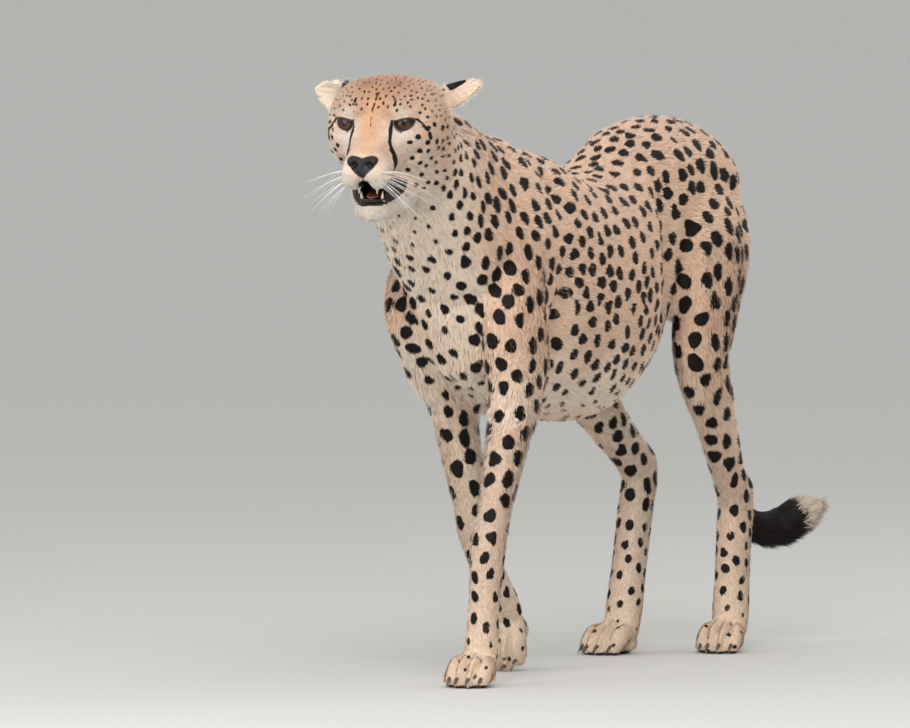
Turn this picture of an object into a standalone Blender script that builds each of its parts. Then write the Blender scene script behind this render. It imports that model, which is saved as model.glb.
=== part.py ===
"""Cheetah at life size, standing with its mouth a little open and its weight on three straight legs.

The animal faces -Y with its left side at +X, and its soles are flats on z = 0. Its body is first made
as one closed skin: tapered forms carried along the spine, the limbs, the head and the tail are fused
and smoothed. That skin is then parted by thin flat cuts into the pieces that a person would name.
"""

import math

import bmesh
import bpy
import numpy as np
from mathutils import Matrix, Vector

# Whole animal, in metres.
FLOOR = 0.003  # height in the drawing below at which the pads are pressed flat
MIDDLE = (-0.0028, -0.0054, FLOOR)  # middle of the finished animal on the floor, in the drawing below
PART_GAP = 0.0003  # between neighbouring pieces
FUSE_SIZE = 0.0026  # grid on which the forms are fused
FIRST_TRIANGLES = 6600  # skin thinned evenly
SKIN_TRIANGLES = 3300  # and then thinned on the body and limbs

# Head: its own axes run left, back and up from the point midway between the eyes.
EYE_MIDDLE = (0.006, -0.599, 0.770)
HEAD_YAW = math.radians(9)
EYE_RADIUS = 0.0155
EYE_PLACE = (0.0385, 0.0130, 0.0)  # left eye's middle, in head axes; the right eye mirrors it


def smooth_rows(rows, count):
    """Rows of numbers led through all stations on a cubic curve, spaced evenly along its chords."""
    rows = np.asarray(rows, float)
    steps = np.linalg.norm(np.diff(rows[:, :3], axis=0), axis=1)
    at = np.concatenate([[0.0], np.cumsum(steps)])
    slope = np.gradient(rows, at, axis=0)
    want = np.linspace(0.0, at[-1], count)
    low = np.clip(np.searchsorted(at, want, side="right") - 1, 0, len(at) - 2)
    span = steps[low][:, None]
    t = (want - at[low])[:, None] / span
    start = (1 + 2 * t) * (1 - t) ** 2 * rows[low] + t * (1 - t) ** 2 * span * slope[low]
    end = t * t * (3 - 2 * t) * rows[low + 1] - t * t * (1 - t) * span * slope[low + 1]
    return start + end


def grid_mesh(rings):
    """Points and faces of a closed tube from an array of rings, with a point in the middle of each end."""
    count, around = rings.shape[:2]
    points = np.concatenate([rings.reshape(-1, 3), rings[:1].mean(axis=1), rings[-1:].mean(axis=1)])
    ring, spoke = np.meshgrid(np.arange(count - 1), np.arange(around), indexing="ij")
    after = (spoke + 1) % around
    quads = np.stack([ring * around + spoke, ring * around + after,
                      (ring + 1) * around + after, (ring + 1) * around + spoke], axis=-1)
    spoke = np.arange(around)
    after = (spoke + 1) % around
    first = np.stack([after, spoke, np.full(around, count * around)], axis=-1)
    last = np.stack([spoke, after, np.full(around, count * around + 1)], axis=-1)
    last[:, :2] += (count - 1) * around
    return points, quads.reshape(-1, 4).tolist() + first.tolist() + last.tolist()


def tube(stations, count=40, around=28, square=2.0):
    """A closed form through stations (x, y, z, half width, reach one way, reach the other way).

    Each section is two half ellipses across the path, squarer where square is over 2. The first
    reach points up on a path that runs back, and back on a path that runs down.
    """
    rows = smooth_rows(stations, count)
    centre = rows[:, :3]
    along = np.gradient(centre, axis=0)
    along /= np.linalg.norm(along, axis=1)[:, None]
    side = np.array([1.0, 0.0, 0.0]) - along * along[:, :1]
    side /= np.linalg.norm(side, axis=1)[:, None]
    over = np.cross(side, along)
    angle = np.linspace(0, 2 * math.pi, around, endpoint=False)
    flat = np.sign(np.cos(angle)) * np.abs(np.cos(angle)) ** (2 / square)
    rise = np.sign(np.sin(angle)) * np.abs(np.sin(angle)) ** (2 / square)
    wide = rows[:, 3:4] * flat
    high = np.where(rise > 0, rows[:, 4:5], rows[:, 5:6]) * rise
    return grid_mesh(centre[:, None] + wide[..., None] * side[:, None] + high[..., None] * over[:, None])


def oval(centre, radii, rings=13, around=24):
    """A closed oval with the given half sizes."""
    latitude = np.linspace(-math.pi / 2, math.pi / 2, rings + 2)[1:-1]
    angle = np.linspace(0, 2 * math.pi, around, endpoint=False)
    ball = np.stack(np.broadcast_arrays(np.cos(latitude)[:, None] * np.cos(angle),
                                        np.cos(latitude)[:, None] * np.sin(angle),
                                        np.sin(latitude)[:, None]), axis=-1)
    points, faces = grid_mesh(ball)
    points[-2:] = ((0, 0, -1), (0, 0, 1))
    return points * radii + centre, faces


def cone_form(base, tip, radius, bow=(0, 0, 0), around=6):
    """A tooth or claw: a tapering horn from base to tip, bowed by a vector at its middle."""
    base, tip, bow = np.array(base), np.array(tip), np.array(bow)
    rise = np.linspace(0, 1, 3)[:, None]
    centre = base + (tip - base) * rise + bow * 4 * rise * (1 - rise)
    wide = radius * (1 - rise ** 1.6) + 0.0003
    return tube(np.hstack([centre, wide, wide, wide]), 3, around)


def about_x(angle):
    c, s = math.cos(angle), math.sin(angle)
    return np.array([[1, 0, 0], [0, c, -s], [0, s, c]])


def about_z(angle):
    c, s = math.cos(angle), math.sin(angle)
    return np.array([[c, -s, 0], [s, c, 0], [0, 0, 1]])


def trunk_forms():
    """Chest, belly and rump as one form, from lines of back height, belly height and half width."""
    lines = (  # y, back, belly, half width
        (-0.391, 0.570, 0.505, 0.030),
        (-0.373, 0.615, 0.445, 0.064),
        (-0.331, 0.660, 0.398, 0.088),
        (-0.275, 0.700, 0.374, 0.098),
        (-0.210, 0.726, 0.360, 0.102),
        (-0.135, 0.723, 0.352, 0.106),
        (-0.052, 0.698, 0.345, 0.109),
        (0.023, 0.697, 0.343, 0.108),
        (0.088, 0.712, 0.364, 0.101),
        (0.153, 0.735, 0.422, 0.088),
        (0.218, 0.754, 0.496, 0.080),
        (0.283, 0.763, 0.518, 0.084),
        (0.348, 0.755, 0.534, 0.089),
        (0.395, 0.731, 0.540, 0.086),
        (0.427, 0.695, 0.560, 0.066),
        (0.441, 0.660, 0.590, 0.032),
    )
    rows = []
    for y, back, belly, wide in lines:
        middle = belly + 0.62 * (back - belly)
        rows.append((0, y, middle, wide, back - middle, middle - belly))
    return [tube(rows, 60, 40)]


def neck_forms():
    return [tube((
        (0.004, -0.560, 0.755, 0.060, 0.055, 0.060),
        (0.003, -0.500, 0.728, 0.071, 0.088, 0.078),
        (0.001, -0.450, 0.690, 0.075, 0.116, 0.080),
        (0.000, -0.395, 0.642, 0.080, 0.146, 0.082),
        (0.000, -0.340, 0.602, 0.090, 0.168, 0.092),
        (0.000, -0.265, 0.575, 0.086, 0.164, 0.090),
        (0.000, -0.190, 0.570, 0.060, 0.152, 0.060),
        (0.000, -0.110, 0.565, 0.040, 0.118, 0.040),
    ), 44, 36, square=2.3)]


# Each leg: joints from the spine down, and half sizes (side, back, front) at places between joints.
FORE_SIZES = (
    (0.0, 0.022, 0.030, 0.030),
    (0.5, 0.032, 0.058, 0.050),
    (1.0, 0.038, 0.076, 0.058),
    (1.5, 0.039, 0.074, 0.054),
    (2.0, 0.0355, 0.058, 0.046),
    (2.25, 0.0320, 0.042, 0.038),
    (2.5, 0.0290, 0.034, 0.033),
    (2.75, 0.0255, 0.028, 0.028),
    (2.95, 0.0260, 0.030, 0.027),
    (3.1, 0.0250, 0.029, 0.026),
    (3.5, 0.0220, 0.025, 0.023),
    (3.9, 0.0240, 0.024, 0.024),
    (4.0, 0.0240, 0.022, 0.022),
)
HIND_SIZES = (
    (0.0, 0.034, 0.080, 0.060),
    (0.5, 0.042, 0.108, 0.085),
    (1.0, 0.045, 0.114, 0.088),
    (1.3, 0.044, 0.104, 0.080),
    (1.7, 0.039, 0.084, 0.068),
    (2.0, 0.036, 0.070, 0.060),
    (2.3, 0.031, 0.052, 0.050),
    (2.6, 0.0265, 0.040, 0.038),
    (2.85, 0.0240, 0.042, 0.031),
    (3.0, 0.0250, 0.042, 0.032),
    (3.15, 0.0255, 0.037, 0.033),
    (3.6, 0.0242, 0.033, 0.031),
    (3.9, 0.0265, 0.027, 0.028),
    (4.0, 0.0250, 0.024, 0.026),
)
LEFT_FORE = ((0.040, -0.210, 0.690), (0.074, -0.315, 0.520), (0.080, -0.322, 0.385),
             (0.073, -0.389, 0.190), (0.067, -0.400, 0.030))
RIGHT_FORE = ((-0.040, -0.200, 0.690), (-0.078, -0.310, 0.520), (-0.070, -0.208, 0.385),
              (-0.041, -0.190, 0.190), (-0.034, -0.106, 0.080))
LEFT_HIND = ((0.045, 0.315, 0.680), (0.070, 0.323, 0.580), (0.077, 0.285, 0.430),
             (0.066, 0.426, 0.210), (0.070, 0.400, 0.030))
RIGHT_HIND = ((-0.045, 0.305, 0.680), (-0.066, 0.285, 0.580), (-0.070, 0.172, 0.415),
              (-0.054, 0.364, 0.255), (-0.050, 0.296, 0.030))


def leg_form(joints, sizes):
    """A limb through its joints, bent smoothly, with its half sizes read at places between joints."""
    joints = np.array(joints)
    places = np.array([row[0] for row in sizes])
    number = np.arange(len(joints))
    centre = np.stack([np.interp(places, number, joints[:, axis]) for axis in range(3)], axis=1)
    return tube(np.hstack([centre, np.array(sizes)[:, 1:]]), 60, 24)


TOE_SIDES = (-0.0215, -0.0078, 0.0078, 0.0215)
TOE_REACH = (0.044, 0.054, 0.054, 0.044)


def placed(forms, heel, heading, fold):
    """Forms drawn around a paw's heel, turned to its heading and set in place."""
    turn = about_z(heading) @ about_x(fold)
    return [(points @ turn.T + heel, faces) for points, faces in forms]


def paw_forms(heel, heading, fold=0.0, spread=1.0, claw_drop=0.012):
    """Pad and four arched toes. Heel is the point above the big pad; fold turns the toes down."""
    forms = [oval((0, -0.002, -0.022), (0.0245 * spread, 0.026, 0.020)),
             oval((0, -0.006, -0.008), (0.0260 * spread, 0.030, 0.024))]
    for side, reach in zip(TOE_SIDES, TOE_REACH):
        side = side * spread
        forms.append(tube((
            (side * 0.6, 0.004, -0.012, 0.012, 0.012, 0.012),
            (side * 0.8, -reach * 0.30, -0.009, 0.0130, 0.015, 0.016),
            (side * 1.0, -reach * 0.62, -0.014, 0.0128, 0.014, 0.017),
            (side * 1.05, -reach * 0.92, -0.027, 0.0118, 0.011, 0.014),
            (side * 1.05, -reach * 1.10, -0.033, 0.0090, 0.009, 0.009),
            (side * 1.05, -reach * 1.18, -0.034, 0.0040, 0.004, 0.004),
        ), 14, 14))
    return placed(forms, heel, heading, fold)


def claw_forms(heel, heading, fold=0.0, spread=1.0, claw_drop=0.012):
    """The four blunt claws that stand clear of the toes. Claw_drop is how far a tip hangs."""
    forms = []
    for side, reach in zip(TOE_SIDES, TOE_REACH):
        root = np.array((side * spread * 1.05, -reach * 1.06, -0.0245))
        forms.append(cone_form(root, root + (0, -0.0150, -claw_drop), 0.0030, bow=(0, -0.0008, 0.0022)))
    return placed(forms, heel, heading, fold)


PAWS = {
    "left_fore": dict(heel=(0.067, -0.403, 0.041), heading=math.radians(4)),
    "right_fore": dict(heel=(-0.034, -0.108, 0.0715), heading=math.radians(-3), fold=math.radians(50),
                       claw_drop=-0.006),
    "left_hind": dict(heel=(0.070, 0.394, 0.041), heading=math.radians(5)),
    "right_hind": dict(heel=(-0.050, 0.292, 0.041), heading=math.radians(-15), spread=1.12),
}


def tail_forms():
    return [tube((
        (0.000, 0.350, 0.695, 0.050, 0.045, 0.050),
        (0.000, 0.400, 0.675, 0.040, 0.034, 0.040),
        (0.000, 0.440, 0.610, 0.027, 0.026, 0.028),
        (0.000, 0.476, 0.520, 0.022, 0.022, 0.022),
        (0.000, 0.500, 0.420, 0.020, 0.020, 0.020),
        (0.000, 0.522, 0.320, 0.019, 0.019, 0.019),
        (0.002, 0.548, 0.220, 0.020, 0.020, 0.020),
        (0.012, 0.575, 0.178, 0.022, 0.022, 0.022),
        (0.032, 0.600, 0.166, 0.024, 0.024, 0.024),
        (0.054, 0.618, 0.172, 0.025, 0.025, 0.025),
        (0.074, 0.630, 0.184, 0.022, 0.022, 0.022),
        (0.090, 0.638, 0.191, 0.013, 0.013, 0.013),
        (0.099, 0.642, 0.194, 0.003, 0.003, 0.003),
    ), 90, 18)]


def head_forms():
    """Skull, muzzle, cheeks and lower jaw in the head's own axes: left, back and up from the eyes."""
    skull = tube((
        (0, -0.0585, -0.057, 0.0110, 0.009, 0.011),
        (0, -0.0540, -0.057, 0.0200, 0.015, 0.018),
        (0, -0.0440, -0.055, 0.0285, 0.020, 0.025),
        (0, -0.0300, -0.051, 0.0330, 0.024, 0.030),
        (0, -0.0150, -0.044, 0.0370, 0.030, 0.036),
        (0, 0.0000, -0.034, 0.0450, 0.038, 0.044),
        (0, 0.0120, -0.024, 0.0590, 0.045, 0.052),
        (0, 0.0250, -0.018, 0.0710, 0.055, 0.056),
        (0, 0.0450, -0.010, 0.0780, 0.063, 0.062),
        (0, 0.0700, -0.003, 0.0800, 0.064, 0.068),
        (0, 0.0950, 0.000, 0.0780, 0.061, 0.072),
        (0, 0.1200, -0.002, 0.0720, 0.055, 0.075),
        (0, 0.1450, -0.006, 0.0640, 0.045, 0.070),
    ), 60, 40, square=2.5)
    jaw = tube((
        (0, -0.0240, -0.119, 0.0080, 0.007, 0.007),
        (0, -0.0190, -0.119, 0.0180, 0.012, 0.012),
        (0, -0.0060, -0.118, 0.0260, 0.013, 0.015),
        (0, 0.0150, -0.112, 0.0330, 0.016, 0.019),
        (0, 0.0400, -0.098, 0.0430, 0.026, 0.028),
        (0, 0.0750, -0.075, 0.0560, 0.040, 0.040),
        (0, 0.1100, -0.060, 0.0600, 0.050, 0.050),
    ), 40, 28, square=2.3)
    lip_corner = tube((
        (0, -0.0100, -0.094, 0.0300, 0.016, 0.016),
        (0, 0.0000, -0.093, 0.0340, 0.018, 0.018),
        (0, 0.0300, -0.080, 0.0420, 0.026, 0.026),
        (0, 0.0600, -0.070, 0.0450, 0.030, 0.030),
    ), 16, 24, square=2.6)
    return [skull, jaw, lip_corner]


# Swellings and hollows of the face: where, how wide, and how far it moves left, back and up.
FACE_SHAPES = (
    ((0.0190, -0.046, -0.066), 0.013, (0.0040, -0.0040, -0.0010)),  # whisker pads
    ((0.0300, -0.028, -0.036), 0.016, (-0.0070, 0.0010, 0.0010)),  # hollow beside the nose
    ((0.0380, 0.0040, 0.018), 0.013, (0.0010, -0.0060, 0.0020)),  # brow
    ((0.0370, -0.011, -0.002), 0.018, (0.0000, 0.0135, 0.0000)),  # eye socket
    ((0.0560, 0.0160, -0.026), 0.018, (0.0030, -0.0030, 0.0000)),  # cheekbone
    ((0.0400, 0.0150, -0.070), 0.016, (-0.0050, 0.0030, 0.0020)),  # hollow behind the lips
)


def ear_form(base, tip, opening, width=0.023, depth=0.018):
    """A cupped ear: crescent sections from its root to its rounded tip, hollow towards its opening."""
    base, tip = np.array(base), np.array(tip)
    along = (tip - base) / np.linalg.norm(tip - base)
    opening = np.array(opening, float)
    opening -= along * opening.dot(along)
    opening /= np.linalg.norm(opening)
    across = np.cross(along, opening)
    rise = np.linspace(0, 1, 18)[:, None]
    spread = width * np.clip(1 - rise ** 2.4, 0, 1) ** 0.6 + 0.004
    hollow = depth * (1 - rise) ** 0.8 + 0.004
    wall = 0.0075 - 0.002 * rise
    angle = np.linspace(0, math.pi, 13)
    back = np.stack([spread * np.cos(angle), -hollow * np.sin(angle)], axis=-1)
    turn = angle[::-1][1:-1]
    inner = np.stack([(spread - wall * 0.4) * np.cos(turn), (wall - hollow) * np.sin(turn) + wall * 0.5], axis=-1)
    section = np.concatenate([back, inner], axis=1)
    centre = base + (tip - base) * rise
    rings = centre[:, None] + section[..., :1] * across + section[..., 1:] * opening
    return grid_mesh(rings[:, ::-1])


EARS = {
    "ear_left": dict(base=(0.056, 0.092, 0.020), tip=(0.114, 0.118, 0.054), opening=(0.55, 0.70, -0.35)),
    "ear_right": dict(base=(-0.054, 0.086, 0.020), tip=(-0.113, 0.104, 0.042), opening=(-0.30, -0.85, -0.30)),
}


def to_body(points):
    """Head axes (left, back, up from between the eyes) to the body's own."""
    return np.asarray(points) @ about_z(HEAD_YAW).T + EYE_MIDDLE


def head_placed(form):
    """A form drawn in head axes, set in the body's own."""
    points, faces = form
    return to_body(points), faces


def new_object(name, points, faces, collection):
    mesh = bpy.data.meshes.new(name)
    mesh.from_pydata([tuple(point) for point in points], [], faces)
    mesh.validate()
    made = bpy.data.objects.new(name, mesh)
    collection.objects.link(made)
    shell = bmesh.new()
    shell.from_mesh(mesh)
    bmesh.ops.recalc_face_normals(shell, faces=shell.faces)
    shell.to_mesh(mesh)
    shell.free()
    return made


def joined(forms):
    """Points and faces of several closed forms in one list."""
    points, faces, start = [], [], 0
    for form_points, form_faces in forms:
        points.append(form_points)
        faces += [[corner + start for corner in face] for face in form_faces]
        start += len(form_points)
    return np.concatenate(points), faces


def evaluated_mesh(made):
    """The object's mesh with its modifiers worked in."""
    graph = bpy.context.evaluated_depsgraph_get()
    return bpy.data.meshes.new_from_object(made.evaluated_get(graph), depsgraph=graph)


def settle(made):
    """Works an object's modifiers into its mesh."""
    mesh = evaluated_mesh(made)
    made.modifiers.clear()
    made.data = mesh
    return made


def points_of(mesh):
    flat = np.empty(len(mesh.vertices) * 3, np.float32)
    mesh.vertices.foreach_get("co", flat)
    return flat.reshape(-1, 3).astype(float)


def blend(low, high, value):
    """0 below low, 1 above high, and a smooth step between them."""
    t = np.clip((value - low) / (high - low), 0, 1)
    return t * t * (3 - 2 * t)


def face_shaped(points):
    """Body points with the face's swellings and hollows worked in on both sides."""
    local = (points - EYE_MIDDLE) @ about_z(HEAD_YAW)
    moved = np.zeros_like(local)
    for place, width, push in FACE_SHAPES:
        for side in (1, -1):
            mirror = np.array([side, 1, 1])
            away = np.linalg.norm(local - place * mirror, axis=1)
            moved += np.exp(-(away / width) ** 2)[:, None] * (push * mirror)
    return points + moved @ about_z(HEAD_YAW).T


def fused_skin(collection):
    """The whole animal as one closed, smoothed mesh."""
    forms = trunk_forms() + neck_forms() + tail_forms()
    forms += [leg_form(LEFT_FORE, FORE_SIZES), leg_form(RIGHT_FORE, FORE_SIZES)]
    forms += [leg_form(LEFT_HIND, HIND_SIZES), leg_form(RIGHT_HIND, HIND_SIZES)]
    for paw in PAWS.values():
        forms += paw_forms(**paw)
    forms += [head_placed(form) for form in head_forms()]
    forms += [head_placed(ear_form(**ear)) for ear in EARS.values()]
    points, faces = joined(forms)
    skin = new_object("skin", points, faces, collection)
    fuse = skin.modifiers.new("fuse", "REMESH")
    fuse.mode = "VOXEL"
    fuse.voxel_size = FUSE_SIZE
    settle(skin)
    points = points_of(skin.data)
    group = skin.vertex_groups.new(name="broad")
    broad = blend(-0.49, -0.41, points[:, 1]) * blend(0.08, 0.16, points[:, 2])
    for level in np.unique(np.round(broad, 1)):
        members = np.flatnonzero(np.round(broad, 1) == level).tolist()
        group.add(members, float(level), "REPLACE")
    fine = skin.modifiers.new("fine", "SMOOTH")
    fine.iterations = 10
    wide = skin.modifiers.new("wide", "SMOOTH")
    wide.iterations = 90
    wide.vertex_group = "broad"
    settle(skin)
    points = face_shaped(points_of(skin.data))
    skin.data.vertices.foreach_set("co", points.astype(np.float32).ravel())
    skin.data.update()
    return skin


def mouth_form():
    """The hollow of the open mouth, from in front of the lips back to the throat, in head axes."""
    return tube((
        (0, -0.0750, -0.094, 0.0250, 0.012, 0.010),
        (0, -0.0450, -0.094, 0.0245, 0.012, 0.011),
        (0, -0.0200, -0.093, 0.0230, 0.013, 0.012),
        (0, 0.0050, -0.089, 0.0210, 0.014, 0.014),
        (0, 0.0300, -0.084, 0.0190, 0.010, 0.012),
        (0, 0.0450, -0.081, 0.0100, 0.005, 0.006),
    ), 10, 14, square=2.6)


def tongue_form():
    return tube((
        (0, -0.0150, -0.0995, 0.0050, 0.0015, 0.0015),
        (0, -0.0110, -0.0990, 0.0080, 0.0025, 0.0025),
        (0, 0.0020, -0.0960, 0.0110, 0.0035, 0.0040),
        (0, 0.0180, -0.0910, 0.0130, 0.0035, 0.0040),
        (0, 0.0300, -0.0875, 0.0100, 0.0030, 0.0030),
    ), 7, 10)


def tooth_forms(upper):
    """The canines of one jaw, rooted in its gum, with the six small front teeth of the lower one."""
    if upper:
        return [cone_form((side * 0.0120, -0.026, -0.076), (side * 0.0125, -0.027, -0.0950), 0.0034)
                for side in (-1, 1)]
    forms = [cone_form((side * 0.0140, -0.007, -0.111), (side * 0.0150, -0.010, -0.0905), 0.0038)
             for side in (-1, 1)]
    for place in (-0.0085, -0.0052, -0.0018, 0.0018, 0.0052, 0.0085):
        front = -0.0145 + abs(place) * 0.25
        forms.append(cone_form((place, front, -0.110), (place, front, -0.1030), 0.0018, around=5))
    return forms


def block(low, high, grow=0.0, turn=None, about=(0, 0, 0)):
    """A box between two corners, grown on every side, then turned by a matrix about a point."""
    low, high, about = np.array(low) - grow, np.array(high) + grow, np.array(about)
    corners = np.array([[x, y, z] for x in (0, 1) for y in (0, 1) for z in (0, 1)])
    points = low + corners * (high - low)
    if turn is not None:
        points = (points - about) @ turn.T + about
    faces = [[0, 1, 3, 2], [4, 6, 7, 5], [0, 4, 5, 1], [2, 3, 7, 6], [0, 2, 6, 4], [1, 5, 7, 3]]
    return points, faces


def about_y(angle):
    c, s = math.cos(angle), math.sin(angle)
    return np.array([[c, 0, s], [0, 1, 0], [-s, 0, c]])


def head_block(low, high, grow, turn=None, about=(0, 0, 0)):
    return head_placed(block(low, high, grow, turn, about))


def cut(target, form, operation, tools):
    """Works one exact Boolean into a mesh object."""
    cutter = new_object("cutter", *form, tools)
    boolean = target.modifiers.new("cut", "BOOLEAN")
    boolean.operation = operation
    boolean.solver = "EXACT"
    boolean.object = cutter
    settle(target)
    bpy.data.objects.remove(cutter)


def split_off(rest, name, region, collection, tools):
    """Parts one named piece from the rest, leaving a thin gap. Region makes its box at a given growth."""
    piece = bpy.data.objects.new(name, rest.data.copy())
    collection.objects.link(piece)
    cut(piece, region(-PART_GAP / 2), "INTERSECT", tools)
    cut(rest, region(PART_GAP / 2), "DIFFERENCE", tools)
    return piece


def regions():
    """Box around each piece, in the order in which the pieces are parted from the rest."""
    tilt = math.radians
    yield "ear_left", lambda grow: head_block(
        (0.0800, 0.050, -0.050), (0.15, 0.20, 0.12), grow, about_y(tilt(-16)), (0.08, 0.1, 0.02))
    yield "ear_right", lambda grow: head_block(
        (-0.15, 0.050, -0.050), (-0.0800, 0.20, 0.12), grow, about_y(tilt(16)), (-0.08, 0.1, 0.02))
    yield "nose", lambda grow: head_placed(
        oval((0, -0.062, -0.055), (0.0235 + grow, 0.0130 + grow, 0.0155 + grow), 11, 20))
    yield "lower_jaw", lambda grow: head_block(
        (-0.10, -0.10, -0.20), (0.10, 0.078, -0.092), grow, about_x(tilt(-4)), (0, 0, -0.092))
    yield "head", lambda grow: head_block(
        (-0.15, -0.10, -0.25), (0.15, 0.115, 0.15), grow, about_x(tilt(-22)), (0, 0.115, 0))
    yield "tail_tip", lambda grow: block((-0.05, 0.505, 0.05), (0.15, 0.80, 0.27), grow)
    yield "tail_middle", lambda grow: block((-0.05, 0.480, 0.27), (0.05, 0.80, 0.42), grow)
    yield "tail_base", lambda grow: block((-0.035, 0.434, 0.42), (0.035, 0.80, 0.59), grow)
    yield from leg_regions("left", 1, split=0.014, paw_top=0.070, hock=0.235, flank=0.160)
    yield from leg_regions("right", -1, split=0.014, paw_top=0.100, hock=0.275, flank=0.105)
    yield "neck", lambda grow: block(
        (-0.3, -0.90, 0.40), (0.3, -0.335, 1.0), grow, about_x(tilt(-38)), (0, -0.335, 0.66))
    yield "chest", lambda grow: block((-0.3, -0.60, 0.2), (0.3, -0.080, 1.0), grow)
    yield "belly", lambda grow: block((-0.3, -0.20, 0.2), (0.3, 0.170, 1.0), grow)


def leg_regions(name, side, split, paw_top, hock, flank):
    """Boxes down one side's two legs. Side is 1 on the left; split is the plane between the legs."""
    low, high = (split, 0.20) if side == 1 else (-0.20, split)
    inner, outer = (0.055, 0.20) if side == 1 else (-0.20, -0.055)
    lean = about_y(math.radians(9 * side))
    yield "fore_paw_" + name, lambda grow: block((low, -0.60, -0.05), (high, -0.02, paw_top), grow)
    yield "forearm_" + name, lambda grow: block((low, -0.60, 0.0), (high, -0.06, 0.340), grow)
    yield "hind_paw_" + name, lambda grow: block((low, 0.02, -0.05), (high, 0.60, 0.070), grow)
    yield "hind_foot_" + name, lambda grow: block((low, 0.02, 0.0), (high, 0.60, hock), grow)
    yield "shank_" + name, lambda grow: block((low, 0.08, 0.0), (high, 0.60, 0.345), grow)
    yield "upper_arm_" + name, lambda grow: block(
        (inner, -0.42, 0.30), (outer, -0.235, 0.635), grow, lean, (side * 0.055, 0, 0.45))
    yield "thigh_" + name, lambda grow: block(
        (inner, flank, 0.30), (outer, 0.55, 0.675), grow, lean, (side * 0.055, 0, 0.50))


def paint(pieces, name, colour, roughness):
    """One Principled material on every piece given."""
    material = bpy.data.materials.new(name)
    material.use_nodes = True
    shader = material.node_tree.nodes["Principled BSDF"]
    shader.inputs["Base Color"].default_value = (*colour, 1.0)
    shader.inputs["Roughness"].default_value = roughness
    for piece in pieces:
        piece.data.materials.clear()
        piece.data.materials.append(material)
        piece.data.shade_smooth()
        piece.data.set_sharp_from_angle(angle=math.radians(40))


for thing in list(bpy.data.objects):
    bpy.data.objects.remove(thing)
animal = bpy.data.collections.new("cheetah")
tools = bpy.data.collections.new("cutters")
for collection in (animal, tools):
    bpy.context.scene.collection.children.link(collection)

# The closed skin, thinned to its triangles, first everywhere and then mostly off the head.
rest = fused_skin(animal)
for name, triangles, group in (("all", FIRST_TRIANGLES, ""), ("body", SKIN_TRIANGLES, "broad")):
    thin = rest.modifiers.new("thin " + name, "DECIMATE")
    thin.ratio = triangles / sum(len(face.vertices) - 2 for face in rest.data.polygons)
    thin.use_collapse_triangulate = True
    thin.vertex_group = group
    settle(rest)

# The mouth is hollowed out, and the soles are cut level with the floor.
cut(rest, head_placed(mouth_form()), "DIFFERENCE", tools)
cut(rest, block((-1, -1, -1), (1, 1, FLOOR)), "DIFFERENCE", tools)

# Eyes in their sockets and claws in their toes, with a thin gap all round.
eyes = []
for name, side in (("eye_left", 1), ("eye_right", -1)):
    place = np.array(EYE_PLACE) * (side, 1, 1)
    cut(rest, head_placed(oval(place, EYE_RADIUS + 2 * PART_GAP, 7, 14)), "DIFFERENCE", tools)
    eyes.append(new_object(name, *head_placed(oval(place, EYE_RADIUS, 7, 14)), animal))
claws = []
for name, paw in PAWS.items():
    for number, (points, faces) in enumerate(claw_forms(**paw), 1):
        middle = points.mean(axis=0)
        cut(rest, (middle + (points - middle) * 1.16, faces), "DIFFERENCE", tools)
        claws.append(new_object(f"claw_{name}_{number}", points, faces, animal))

flesh = [split_off(rest, name, region, animal, tools) for name, region in regions()]
rest.name = "rump"
flesh.append(rest)

# Teeth grow from their gums, and the tongue lies in the mouth.
for name, upper in (("head", True), ("lower_jaw", False)):
    for form in tooth_forms(upper):
        cut(animal.objects[name], head_placed(form), "UNION", tools)
tongue = new_object("tongue", *head_placed(tongue_form()), animal)

for piece in animal.objects:
    piece.data.transform(Matrix.Translation(-Vector(MIDDLE)))

paint([piece for piece in flesh if piece.name != "nose"], "tawny coat", (0.56, 0.37, 0.21), 0.85)
paint(eyes, "amber eye", (0.16, 0.06, 0.02), 0.15)
paint(claws, "claw horn", (0.42, 0.36, 0.28), 0.45)
paint([animal.objects["nose"]], "black nose leather", (0.012, 0.011, 0.012), 0.45)
paint([tongue], "tongue", (0.34, 0.10, 0.09), 0.5)
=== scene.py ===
"""Cheetah at life size: hide, coat, eyes, mouth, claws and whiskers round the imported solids."""

import math

import bmesh
import bpy
import numpy as np
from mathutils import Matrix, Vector


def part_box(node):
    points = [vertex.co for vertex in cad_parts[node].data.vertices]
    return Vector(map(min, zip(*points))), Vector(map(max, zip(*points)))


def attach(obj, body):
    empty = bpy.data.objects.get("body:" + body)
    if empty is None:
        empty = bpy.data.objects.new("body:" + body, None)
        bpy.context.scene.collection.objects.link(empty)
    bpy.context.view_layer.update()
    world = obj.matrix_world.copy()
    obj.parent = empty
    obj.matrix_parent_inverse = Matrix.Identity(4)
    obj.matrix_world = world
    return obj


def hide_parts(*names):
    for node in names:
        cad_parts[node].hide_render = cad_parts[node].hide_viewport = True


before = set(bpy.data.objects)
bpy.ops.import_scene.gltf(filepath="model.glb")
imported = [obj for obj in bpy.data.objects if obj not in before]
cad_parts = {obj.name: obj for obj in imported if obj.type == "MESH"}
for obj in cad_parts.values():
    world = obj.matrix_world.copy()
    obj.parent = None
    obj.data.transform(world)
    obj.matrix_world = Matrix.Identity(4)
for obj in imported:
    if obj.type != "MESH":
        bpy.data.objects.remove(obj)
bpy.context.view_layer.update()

# ---- The hide ------------------------------------------------------------------------------
# One closed skin over the whole body. The forms of the body, the limbs and the head are drawn
# about their own centre lines, fused into one surface and drawn in by the depth of the coat.

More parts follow.
